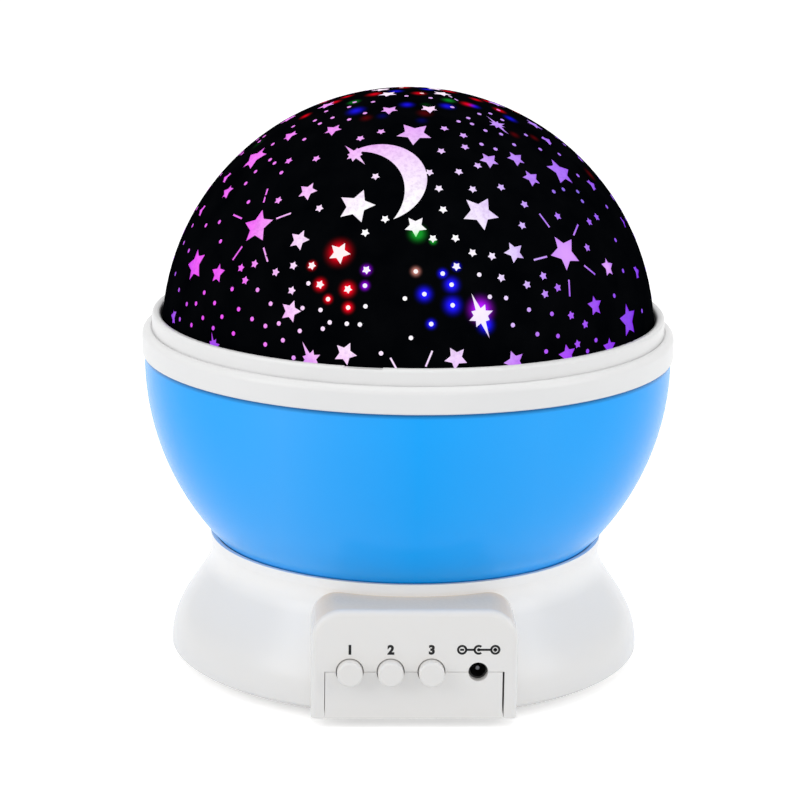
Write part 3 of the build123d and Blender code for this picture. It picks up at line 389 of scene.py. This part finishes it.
def base_plastic(name):
    """Glossy white plastic with painted light on the neck, and on the roof of the panel a fine matt texture
    under a painted shade, darker and warm against the bowl's blue light.
    """
    material = moulded(name, BASE_WHITE, gloss=0.26, flow=0.003, specular=BASE_SPECULAR, wave=0.0)
    tree = material.node_tree
    shader = tree.nodes["Principled BSDF"]
    radius = off_axis(tree)
    roof = roof_share(tree, radius)
    # painted light: the neck, which the bowl shades, is kept paler than the rest of the base
    shade = ramp(tree, share_of(tree, radius, NECK_RANGE), NECK_PAINTED_LIGHT)
    tint = mix_colour(tree, 1.0, source_of(shader.inputs["Base Color"]), shade, "MULTIPLY")
    # painted shade on the roof, with a fine grain in it
    painted_roof_shade = mottled(tree, noise(tree, scale=1500.0), *ROOF_PAINTED_SHADE)
    feed(tree, shader, {
        "Base Color": mix_colour(tree, roof, tint, painted_roof_shade),
        "Roughness": maths(tree, "MAXIMUM", roof, source_of(shader.inputs["Roughness"])),
        "Specular IOR Level": spread(tree, roof, BASE_SPECULAR, ROOF_SPECULAR, (0.0, 1.0)),
    })
    return material


BOWL_BLUE = srgb(0, 166, 255)
SHADE_BLUE = srgb(0, 60, 110)
SHADE_DEPTH = 0.75         # share of the shade's blue right under the ring
SHADE_Z = (BOWL_RIM_Z - 1.2 * MM, BOWL_RIM_Z - 0.2 * MM)
# painted reflection, as white in the bowl's blue from left to right: position, display value of its share
REFLECTION_WHITE = [(0.03, 10), (0.24, 64), (0.5, 8), (0.74, 42), (0.97, 10)]
REFLECTION_BREAKUP = (0.7, 1.25)       # factor by which that white comes and goes


def bowl_plastic(name):
    """Glossy sky-blue plastic with painted reflections that make it paler to the left and right, and
    painted shade right under the ring.
    """
    material = moulded(name, BOWL_BLUE, gloss=0.24, flow=0.01, specular=0.18, wave=0.1)
    tree = material.node_tree
    shader = tree.nodes["Principled BSDF"]
    place = axes_of(tree, object_place(tree))
    across = share_of(tree, place["X"], (-DOME_R, DOME_R))
    # painted reflection: paler to the left and right, broken up by a noise
    painted_reflection = ramp(tree, across, [(position, grey(value)) for position, value in REFLECTION_WHITE])
    breakup = spread(tree, noise(tree, scale=16.0, detail=1.0), *REFLECTION_BREAKUP)
    white = maths(tree, "MULTIPLY", painted_reflection, breakup)
    tint = mix_colour(tree, white, source_of(shader.inputs["Base Color"]), WHITE)
    # painted shade: the blue darkens right under the ring
    shade = spread(tree, place["Z"], 0.0, SHADE_DEPTH, SHADE_Z)
    tree.links.new(mix_colour(tree, shade, tint, SHADE_BLUE), shader.inputs["Base Color"])
    return material


# ------------------------------------------------------------------ metal, lamps, boards and cells
SCRATCH_SHADE = 0.88
SCRATCH_GLOSS = (0.8, 1.3)


def metal(name, colour, roughness, brushed):
    """Metal with fine drawn or turned marks."""
    material, tree, shader = new_material(name)
    scratches = noise(tree, scale=900.0, detail=3.0)
    feed(tree, shader, {
        "Base Color": mottled(tree, scratches, shaded(colour, SCRATCH_SHADE), colour),
        "Metallic": 1.0,
        "Roughness": spread(tree, scratches, *(roughness * factor for factor in SCRATCH_GLOSS)),
    })
    bumped(tree, shader, [(scratches, 0.03 * MM, brushed)])
    return material


BEAD_SHADE = 0.8


def glass_bead(name, colour):
    """Tinted clear resin of a lamp, lit from inside."""
    material, tree, shader = new_material(name)
    tint = mottled(tree, noise(tree, scale=700.0, detail=1.0), shaded(colour, BEAD_SHADE), colour)
    feed(tree, shader, {
        "Base Color": tint, "Emission Color": tint, "Emission Strength": 1.0, "Roughness": 0.12,
    })
    return material


def circuit_board(name):
    """Green solder mask with a raised pattern of copper tracks under it."""
    material, tree, shader = new_material(name)
    brick = tree.nodes.new("ShaderNodeTexBrick")
    feed(tree, brick, {
        "Vector": object_place(tree), "Scale": 240.0, "Mortar Size": 0.09,
        "Color1": srgb(18, 92, 46), "Color2": srgb(14, 80, 40), "Mortar": srgb(42, 128, 66),
    })
    feed(tree, shader, {
        "Base Color": brick.outputs["Color"],
        "Roughness": spread(tree, noise(tree, scale=400.0), 0.3, 0.45),
    })
    bumped(tree, shader, [(brick.outputs["Fac"], 0.04 * MM, 0.5)])
    return material


CELLS_HALF = 22 * MM       # just under half the length of a cell, along X
STEEL_END = srgb(150, 150, 156)
DARK_FILM = srgb(34, 36, 44)
COPPER_FILM = srgb(196, 120, 58)


def cell_jacket(name):
    """Printed film of a cell: dark with a copper-coloured band at the same end of each cell."""
    material, tree, shader = new_material(name)
    along = share_of(tree, axes_of(tree, object_place(tree))["X"], (-CELLS_HALF, CELLS_HALF))
    film = ramp(tree, along, [(0.0, STEEL_END), (0.02, DARK_FILM), (0.70, COPPER_FILM), (0.97, STEEL_END)])
    film.node.color_ramp.interpolation = "CONSTANT"
    feed(tree, shader, {
        "Base Color": film, "Metallic": 0.6,
        "Roughness": spread(tree, noise(tree, scale=500.0), 0.22, 0.36),
    })
    return material


# ------------------------------------------------------------------ light inside the dome
RED = srgb(255, 0, 30)
GREEN = srgb(20, 150, 40)
BLUE = srgb(30, 20, 255)
VIOLET = srgb(150, 0, 230)
MAGENTA = srgb(185, 20, 255)
WARM = srgb(200, 130, 120)
DEEP_VIOLET = srgb(150, 60, 232)
BLUE_VIOLET = srgb(104, 84, 214)
NEAR_WHITE = srgb(252, 238, 250)

# All spots are (azimuth, elevation, reach in mm, colour). These windows lie right over a lamp: white
# inside, with a coloured halo.
HOT_SPOTS = [
    (-20.5, 30, 5.0, RED), (-27, 26.5, 2.0, RED), (-24, 22.5, 2.7, RED), (-17, 22, 3.1, RED),
    (-21.5, 19.5, 1.9, RED), (-16.5, 18, 2.3, RED), (-13, 26.5, 2.3, VIOLET), (-13, 23, 2.0, VIOLET),
    (-0.5, 35.2, 3.6, GREEN), (3.5, 33.4, 1.6, GREEN), (1, 21.5, 3.2, BLUE), (7.5, 23.5, 3.2, BLUE),
    (7.5, 19, 3.7, BLUE), (5.5, 26, 2.1, BLUE), (2.5, 15, 2.1, BLUE), (9, 27.5, 1.9, BLUE),
    (14.0, 17.8, 5.0, MAGENTA), (15, 14.5, 3.4, BLUE), (-1, 26.5, 2.1, WARM),
]
# green light at the lower tip of the crescent
GREEN_TIP = [(-0.5, 34.2, 2.4, srgb(90, 250, 110))]
# light of single lamps on the film near the crown
LEAKS = [
    (-73.5, 81, 3.4, RED), (20, 85.5, 3.0, RED), (56, 75, 3.0, RED), (84, 75, 2.8, RED),
    (-85, 72, 3.0, RED), (-80.5, 64.5, 2.6, RED), (75.5, 69, 2.8, RED), (-66, 86, 3.0, BLUE),
    (-46, 71.5, 3.8, BLUE), (-7, 77, 3.0, BLUE), (31.5, 75.5, 3.2, BLUE), (58.5, 73.5, 2.6, BLUE),
    (69, 65.5, 3.0, BLUE), (-64.5, 75, 2.8, GREEN), (45, 78.5, 3.0, GREEN),
]
# the same, deeper down and dimmer
FAINT_LEAKS = [
    (7.5, 72.5, 3.4, RED), (-32, 69, 2.8, RED), (53, 60.5, 2.4, RED), (64, 58, 2.4, RED),
    (78, 43.5, 3.4, RED), (-22.5, 70.5, 2.6, BLUE), (4, 69, 2.6, BLUE), (-84, 52, 3.4, GREEN),
    (12, 77, 2.6, GREEN),
]
# parts of the diffuser that one lamp colours on its own
PATCHES = [
    (-52, 5, 7.0, DEEP_VIOLET), (-72, 7.5, 7.0, DEEP_VIOLET), (-27, 2, 8.0, srgb(196, 120, 242)),
    (41, 28, 11.0, srgb(214, 150, 249)), (55, 23, 5.0, srgb(222, 158, 248)),
    (50, 42.5, 4.5, BLUE_VIOLET), (58, 40.5, 3.5, BLUE_VIOLET),
    (68.5, 82.7, 5.0, NEAR_WHITE), (-53.5, 83, 4.5, NEAR_WHITE),
    (27.5, 85.3, 3.0, srgb(255, 205, 205)), (74.8, 69.2, 3.0, srgb(250, 90, 200)),
    (14, 76, 6.0, srgb(252, 220, 250)),
]
HOT_WHITE = 0.85           # share of white in a hot spot's window
HALO_FALL = 2.5            # how steeply a halo fades
# spots whose light bleeds through the film, and how strongly
BLEEDING = ((HOT_SPOTS, 1.5), (LEAKS, 0.75), (FAINT_LEAKS, 0.07))

BRIGHTEST = (-6, 28)       # azimuth and elevation of the dome's place right over the lamps
WHITE_RANGE = (16 * MM, 38.5 * MM)     # distance from there over which white turns into the side's colour
SIDE_COLOURS = [           # from left to right
    (0.03, srgb(150, 45, 224)), (0.075, srgb(238, 80, 246)), (0.20, srgb(243, 104, 246)),
    (0.35, srgb(240, 146, 246)), (0.50, srgb(230, 172, 247)), (0.67, srgb(188, 136, 248)),
    (0.80, srgb(160, 92, 246)), (0.93, srgb(122, 28, 234)),
]
LOW_TINT = srgb(255, 160, 255)         # deepens the colours low on the dome
LOW_RANGE = (DOME_CENTRE.z + 8 * MM, DOME_CENTRE.z + 32 * MM)
CLOTH = [(0.36, srgb(236, 228, 240)), (0.56, WHITE)]


def nearness(tree, place, twin, azimuth, elevation, reach):
    """1 at a spot of the dome and at the spot half a turn on, falling to 0 at the reach."""
    spot = on_dome(azimuth, elevation)
    nearest = maths(tree, "MINIMUM", distance(tree, place, spot), distance(tree, twin, spot))
    return spread(tree, nearest, 1.0, 0.0, (0.0, reach * MM), smooth=True)


def spot_strengths(tree, place, spots):
    """For each colour of lamp, how near the surface point is to one of its spots, from 0 to 1."""
    twin = scaled(tree, place, (-1, -1, 1))
    found = {}
    for azimuth, elevation, reach, colour in spots:
        value = nearness(tree, place, twin, azimuth, elevation, reach)
        if colour in found:
            value = maths(tree, "MAXIMUM", found[colour], value)
        found[colour] = value
    return found


def tinted(tree, place, colour, spots, white=0.0):
    """The colour with the spots' own colours over it, each with a share of white in it."""
    for lamp_colour, near in spot_strengths(tree, place, spots).items():
        colour = mix_colour(tree, near, colour, paler(lamp_colour, white))
    return colour


def side_colour(tree, place):
    """Colour of the lit shell away from its brightest place."""
    axes = axes_of(tree, place)
    across = share_of(tree, axes["X"], (-DOME_R, DOME_R))
    low = mix_colour(tree, share_of(tree, axes["Z"], LOW_RANGE), LOW_TINT, WHITE)
    return mix_colour(tree, 1.0, ramp(tree, across, SIDE_COLOURS), low, "MULTIPLY")


def lit_diffuser(name):
    """Milky shell over the lamps: white where they face it, magenta to the left and violet to the right."""
    material, tree, shader = new_material(name)
    place = object_place(tree)
    off = share_of(tree, distance(tree, place, on_dome(*BRIGHTEST)), WHITE_RANGE)
    colour = mix_colour(tree, off, WHITE, side_colour(tree, place))
    cloth = ramp(tree, noise(tree, scale=850.0, detail=4.0, roughness=0.7), CLOTH)
    colour = mix_colour(tree, 1.0, colour, cloth, "MULTIPLY")
    colour = tinted(tree, place, colour, PATCHES)
    colour = tinted(tree, place, colour, HOT_SPOTS, HOT_WHITE)
    colour = tinted(tree, place, colour, GREEN_TIP)
    feed(tree, shader, {
        "Base Color": (0.05, 0.04, 0.05, 1), "Specular IOR Level": 0.1, "Roughness": 0.6,
        "Emission Color": colour, "Emission Strength": 1.0,
    })
    return material


def black_mask(name):
    """Matt black film with the lamps' light bleeding through it round their spots."""
    material, tree, shader = new_material(name)
    place = object_place(tree)
    glow = BLACK
    for spots, gain in BLEEDING:
        for lamp_colour, near in spot_strengths(tree, place, spots).items():
            strength = maths(tree, "MULTIPLY", maths(tree, "POWER", near, HALO_FALL), gain)
            halo = mix_colour(tree, strength, BLACK, lamp_colour)
            glow = mix_colour(tree, 1.0, glow, halo, "ADD")
    feed(tree, shader, {
        "Base Color": mottled(tree, noise(tree, scale=120.0, detail=3.0), srgb(2, 3, 5), srgb(6, 7, 9)),
        "Specular IOR Level": 0.0, "Roughness": 0.5,
        "Emission Color": glow, "Emission Strength": 1.0,
    })
    return material


# ------------------------------------------------------------------ finishes of the CAD nodes
def finish_nodes():
    finishes = [
        (base_plastic("white_abs"), ["base_housing", "bottom_cover", "battery_door"]),
        (moulded("ring_abs", grey(230), 0.30, specular=0.3), ["rim_ring"]),
        (bowl_plastic("blue_abs"), ["blue_bowl"]),
        (moulded("button_abs", srgb(229, 227, 224), 0.36, specular=0.3), CAPS),
        (moulded("black_plastic", srgb(14, 14, 15), 0.4),
         ["dc_jack", "push_switches", "board_components"] + PLUNGERS),
        (moulded("natural_pom", srgb(226, 222, 208), 0.42),
         ["thrust_washer", "drive_ring", "drive_pinion", "gearbox", "lamp_post"]),
        (moulded("foot_rubber", srgb(38, 38, 40), 0.75, specular=0.3, grain=0.5), ["rubber_feet"]),
        (moulded("lead_jacket", srgb(176, 26, 28), 0.45), ["lamp_lead", "battery_lead"]),
        (metal("pin_steel", srgb(96, 96, 100), 0.35, 0.2), ["jack_pin"]),
        (metal("nickel_leaf", srgb(205, 203, 196), 0.2, 0.15), ["battery_contacts"]),
        (metal("screw_steel", srgb(172, 172, 176), 0.3, 0.3),
         ["cover_screws", "door_screw", "motor_screws", "ring_screws", "rim_screws", "lamp_screws",
          "retaining_clip", "hub_washer", "drive_shaft", "drive_motor"]),
        (circuit_board("board_green"), ["control_board", "lamp_board"]),
        (cell_jacket("cell_film"), ["batteries"]),
        (black_mask("dome_mask"), ["star_mask"]),
        (lit_diffuser("dome_light"), ["dome_diffuser"]),
        (glass_bead("bead_red", srgb(255, 40, 36)), ["led_red"]),
        (glass_bead("bead_green", srgb(60, 240, 90)), ["led_green"]),
        (glass_bead("bead_blue", srgb(50, 80, 255)), ["led_blue"]),
        (glass_bead("bead_warm", srgb(255, 236, 196)), ["led_warm_white"]),
    ]
    for material, nodes in finishes:
        for name in nodes:
            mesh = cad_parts[name].data
            mesh.materials.clear()
            mesh.materials.append(material)


# ------------------------------------------------------------------ thin pieces
def add_plate(shape, front, back):
    """Closed plate between two rings of points."""
    top, bottom = [[shape.verts.new(point) for point in ring] for ring in (front, back)]
    shape.faces.new(top)
    shape.faces.new(list(reversed(bottom)))
    for i in range(len(top)):
        j = (i + 1) % len(top)
        shape.faces.new((top[j], top[i], bottom[i], bottom[j]))


def mesh_of(name, shape):
    """Mesh of the plates in a shape, with their faces outwards."""
    bmesh.ops.recalc_face_normals(shape, faces=shape.faces)
    mesh = bpy.data.meshes.new(name)
    shape.to_mesh(mesh)
    shape.free()
    return mesh


def disc_outline(radius, steps):
    turns = [2 * math.pi * i / steps for i in range(steps)]
    return [(radius * math.cos(t), radius * math.sin(t)) for t in turns]


def pointed_outline(points, waist, turn):
    """Star with a point of each length, the first one turned by so many degrees, and its inner corners
    at the waist's radius."""
    outline = []
    for i, length in enumerate(points):
        for radius, share in ((length, 0.0), (waist, 0.5)):
            t = math.radians(turn + 360 * (i + share) / len(points))
            outline.append((radius * math.sin(t), radius * math.cos(t)))
    return outline


def bar_outline(width, height):
    x, y = width / 2, height / 2
    return [(-x, -y), (x, -y), (x, y), (-x, y)]


# ------------------------------------------------------------------ small windows of the dome
WINDOW_PROUD = 0.02 * MM
WINDOW_DEPTH = 0.10 * MM
DOT_R = 0.52 * MM
DOT_STEPS = 14
TINY_STAR_R = 1.04 * MM
TINY_STAR_WAIST = 0.58     # of the star's radius
CROWN_STAR_R = 2.3 * MM
CROWN_STAR_WAIST = 0.5
STAR_TURN = 36             # degrees that a star right in front is turned
STAR_TWIST = 0.78          # and degrees more for each degree of azimuth
BURST_WAIST = 0.9 * MM
RAY_LENGTH = 3.9 * MM
RAY_WIDTH = 0.42 * MM

# (azimuth, elevation) in degrees; each list is used for the front and again half a turn on
TINY_STARS = [
    (-51.5, 51), (-40, 53), (-26.5, 61), (-18, 64), (-14.5, 49.5), (-29.5, 40), (-9.5, 38.5), (-14.5, 35),
    (-44.5, 40.5), (15.5, 65.5), (23.5, 62.5), (10, 57.5), (21, 58.5), (14.5, 51), (22.5, 52.5),
    (6.5, 46.5), (17.5, 46), (27.5, 46), (7, 41), (33, 41), (29.5, 36), (9.5, 34), (3.5, 34), (43, 37),
    (60, 34.5), (55, 34), (4, 51), (-43.5, 25), (-47.5, 23.5), (-45, 21), (-36.5, 24), (-32, 26),
    (-27, 26.5), (-13, 26.5), (-24, 22.5), (-17, 22), (-31, 20.5), (13.5, 30.5), (18.5, 29.5), (9, 27.5),
    (20, 24.5), (26.5, 22.5), (31.5, 24), (31, 20), (35, 21), (37.5, 14.5), (41.5, 12), (38.5, 8),
    (49, 28.5), (86, 47), (88, 24.5), (85, 35.5), (87, 10),
]
CROWN_STARS = [(-53.5, 83), (-84, 70), (84, 60.5), (68.5, 82.7)]
# azimuth, elevation, turn of the first point in degrees, lengths of the points in mm
BURSTS = [(50.5, 65, 8, [3.8, 1.8, 2.6, 2.0, 4.2, 1.8, 2.6, 2.0])]
DOTS = [
    (-64.5, 64.5), (-57.5, 64), (-55, 67), (-74, 60.5), (-54.5, 58), (-70.5, 54), (-86, 52.5), (-61.5, 50),
    (-57.5, 49.5), (-50.5, 47.5), (-63.5, 46), (-63.5, 42.5), (-56, 38.5), (-64, 32), (-70.5, 30),
    (-81, 28), (-59, 28), (-69.5, 68.5), (-57.5, 72.5), (-42, 67.5), (-36.5, 71), (-45, 77), (-81.5, 23.5),
    (-74, 23), (-78.5, 16.5), (27, 68), (36, 69), (34, 66.5), (49, 70), (38, 63.5), (45, 61.5), (29.5, 59),
    (34.5, 57), (46, 57.5), (60.5, 59.5), (58.5, 54.5), (68, 51.5), (47, 43), (52, 43), (58.5, 41.5),
    (57.5, 39), (66.5, 45), (70.5, 35.5), (64, 28), (-13, 23), (-27, 22.5), (-21.5, 19.5), (-40.5, 19.5),
    (-48.5, 18.5), (-58.5, 16), (-72, 14), (-61, 13), (-53.5, 14.5), (-65.5, 12), (-45, 14.5), (-36, 17),
    (-27.5, 17), (-23, 17), (-16.5, 18), (-12.5, 18.5), (-40.5, 13), (-33, 13), (-36.5, 12), (-50, 12),
    (-57, 10.5), (-20.5, 14.5), (-16.5, 14.5), (-13.5, 14.5), (-22, 13), (-27.5, 12), (-45.5, 9),
    (-52.5, 9), (-31.5, 9.5), (-36, 8), (-28.5, 6), (-8.5, 8.5), (-61.5, 8), (-68, 8), (-1, 26.5),
    (5.5, 26), (1, 21.5), (7.5, 23.5), (7.5, 19), (-3.5, 20.5), (2.5, 15), (-2, 12), (14.5, 25.5),
    (16.5, 20.5), (20.5, 20), (26, 17), (21.5, 14), (27.5, 11.5), (32, 15.5), (33, 10.5), (44.5, 8),
    (29.5, 7.5), (54, 16.5), (61.5, 21), (67.5, 10.5), (41.5, 6), (89, 40.5), (85, 29.5), (91, 31),
    (84.5, 17), (90, 18), (86.5, 52), (90.5, 47.5), (91, 54), (27, 81.2), (35, 74.7), (-63, 75),
    (59, 69.2), (59.5, 66), (-12, 83), (27.5, 85.3), (74.8, 69.2),
]
# rays round a star: the star's place, then the middles of its rays
RAYS = [
    ((-47, 33.5), [(-50.5, 41), (-57, 34.5), (-40, 37), (-50.5, 26.5), (-41, 27.5)]),
    ((40.5, 28.5), [(37.5, 36.5), (47.5, 33), (32, 28), (47, 23.5), (38.5, 20.5)]),
    ((-1.5, -1), [(2, 7.5), (-5.5, 6)]),
    ((90, 84), [(59.5, 79.2)]),
]


def add_window(shape, azimuth, elevation, outline, upward=UP):
    """Thin plate that follows the dome's curve, with its outline's +Y towards upward."""
    out = direction(azimuth, elevation)
    up = (upward - out * upward.dot(out)).normalized()
    east = up.cross(out)
    rays = [(out * DOME_R + east * x + up * y).normalized() for x, y in outline]
    add_plate(shape, *(
        [DOME_CENTRE + ray * radius for ray in rays]
        for radius in (DOME_R + WINDOW_PROUD, DOME_R - WINDOW_DEPTH)
    ))


def fill_dots(shape, half_turn):
    for azimuth, elevation in DOTS:
        add_window(shape, azimuth + half_turn, elevation, disc_outline(DOT_R, DOT_STEPS))


def fill_stars(shape, half_turn):
    for places, radius, waist in (
        (TINY_STARS, TINY_STAR_R, TINY_STAR_WAIST), (CROWN_STARS, CROWN_STAR_R, CROWN_STAR_WAIST),
    ):
        for azimuth, elevation in places:
            outline = pointed_outline([radius] * 5, waist * radius, STAR_TURN + STAR_TWIST * azimuth)
            add_window(shape, azimuth + half_turn, elevation, outline)


def fill_rays(shape, half_turn):
    for centre, middles in RAYS:
        hub = direction(centre[0] + half_turn, centre[1])
        for azimuth, elevation in middles:
            away = direction(azimuth + half_turn, elevation) - hub
            add_window(shape, azimuth + half_turn, elevation, bar_outline(RAY_WIDTH, RAY_LENGTH), away)


def fill_bursts(shape, half_turn):
    for azimuth, elevation, turn, points in BURSTS:
        outline = pointed_outline([length * MM for length in points], BURST_WAIST, turn)
        add_window(shape, azimuth + half_turn, elevation, outline)


def window_piece(name, fill):
    """Piece of the windows that fill adds, once for the front and once for the back."""
    shape = bmesh.new()
    for half_turn in (0, 180):
        fill(shape, half_turn)
    mesh = mesh_of(name, shape)
    mesh.materials.append(bpy.data.materials["dome_light"])
    piece = add_object(name, mesh)
    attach(piece, BODY_OF_DOME)


def make_windows():
    window_piece("dome_dots", fill_dots)
    window_piece("dome_tiny_stars", fill_stars)
    window_piece("dome_rays", fill_rays)
    window_piece("dome_bursts", fill_bursts)


# ------------------------------------------------------------------ marks on the panel
MARK_HEIGHT = 2.4 * MM
MARK_Z = 19.4 * MM
MARK_DEPTH = 0.04 * MM
MARK_LINE = 0.52 * MM
DIGIT_BOLDNESS = 0.055     # of the font's size
DIGIT_EXTRUDE = 0.01       # any depth, scaled to the mark's own
INLET_MARK_REACH = 4.8 * MM
PIN_DOT_R = 0.4 * MM
PIN_DOT_STEPS = 20
SLEEVE_GAP = 50            # degrees that the sleeve's arc is open to either side
ARC_STEPS = 28


def place_mark(name, mesh, ink):
    mesh.materials.clear()
    mesh.materials.append(ink)
    piece = add_object(name, mesh)
    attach(piece, "base")


def number_mark(digit, x, ink):
    """Bold digit printed over a button."""
    curve = bpy.data.curves.new(f"digit_{digit}", "FONT")
    curve.body = str(digit)
    curve.offset = DIGIT_BOLDNESS
    curve.extrude = DIGIT_EXTRUDE
    writer = add_object("writer", curve)
    bpy.context.view_layer.update()
    mesh = bpy.data.meshes.new_from_object(writer.evaluated_get(bpy.context.evaluated_depsgraph_get()))
    bpy.data.objects.remove(writer)
    xs, ys, zs = zip(*(v.co for v in mesh.vertices))
    middle_x, middle_y = (min(xs) + max(xs)) / 2, (min(ys) + max(ys)) / 2
    scale = MARK_HEIGHT / (max(ys) - min(ys))
    depth = MARK_DEPTH / (max(zs) - min(zs))
    for v in mesh.vertices:
        across, up = (v.co.x - middle_x) * scale, (v.co.y - middle_y) * scale
        v.co = Vector((x + across, PANEL_Y - v.co.z * depth, MARK_Z + up))
    place_mark(f"mark_{digit}", mesh, ink)


def add_print(shape, x, outline):
    """Thin plate on the panel's face, from an outline whose middle is at x and the marks' height."""
    add_plate(shape, *(
        [(x + across, y, MARK_Z + up) for across, up in outline]
        for y in (PANEL_Y - MARK_DEPTH / 2, PANEL_Y + MARK_DEPTH / 2)
    ))


def add_arc(shape, x, radius, start=0, end=360):
    """Line along a circle's arc round x, in short plates."""
    inner, outer = radius - MARK_LINE / 2, radius + MARK_LINE / 2
    for i in range(ARC_STEPS):
        a, b = (math.radians(start + (end - start) * step / ARC_STEPS) for step in (i, i + 1))
        corners = ((inner, a), (outer, a), (outer, b), (inner, b))
        add_print(shape, x, [(r * math.cos(t), r * math.sin(t)) for r, t in corners])


def inlet_mark(ink):
    """Plain polarity sign of a centre-pin inlet: minus, sleeve and pin, plus."""
    x = middle("jack_pin").x
    r = MARK_HEIGHT / 2 - MARK_LINE / 2
    side = INLET_MARK_REACH - r
    shape = bmesh.new()
    for sign in (x - side, x + side):
        add_arc(shape, sign, r)
        add_print(shape, sign, bar_outline(r, MARK_LINE))
    add_print(shape, x + side, bar_outline(MARK_LINE, r))
    add_arc(shape, x, r, SLEEVE_GAP, 360 - SLEEVE_GAP)
    add_print(shape, x, disc_outline(PIN_DOT_R, PIN_DOT_STEPS))
    add_print(shape, x - side / 2, bar_outline(side - 2 * r, MARK_LINE))
    add_print(shape, x + (side - r) / 2, bar_outline(side - r, MARK_LINE))
    place_mark("mark_inlet", mesh_of("mark_inlet", shape), ink)


def make_marks():
    ink = moulded("mark_ink", srgb(10, 10, 11), 0.55, flow=0.1, specular=0.3)
    for digit, cap in enumerate(CAPS, start=1):
        number_mark(digit, middle(cap).x, ink)
    inlet_mark(ink)


# ------------------------------------------------------------------ the whole scene
bpy.context.scene.view_settings.view_transform = "Standard"
make_camera()
make_lights()
make_world()
make_floor()
finish_nodes()
make_windows()
make_marks()
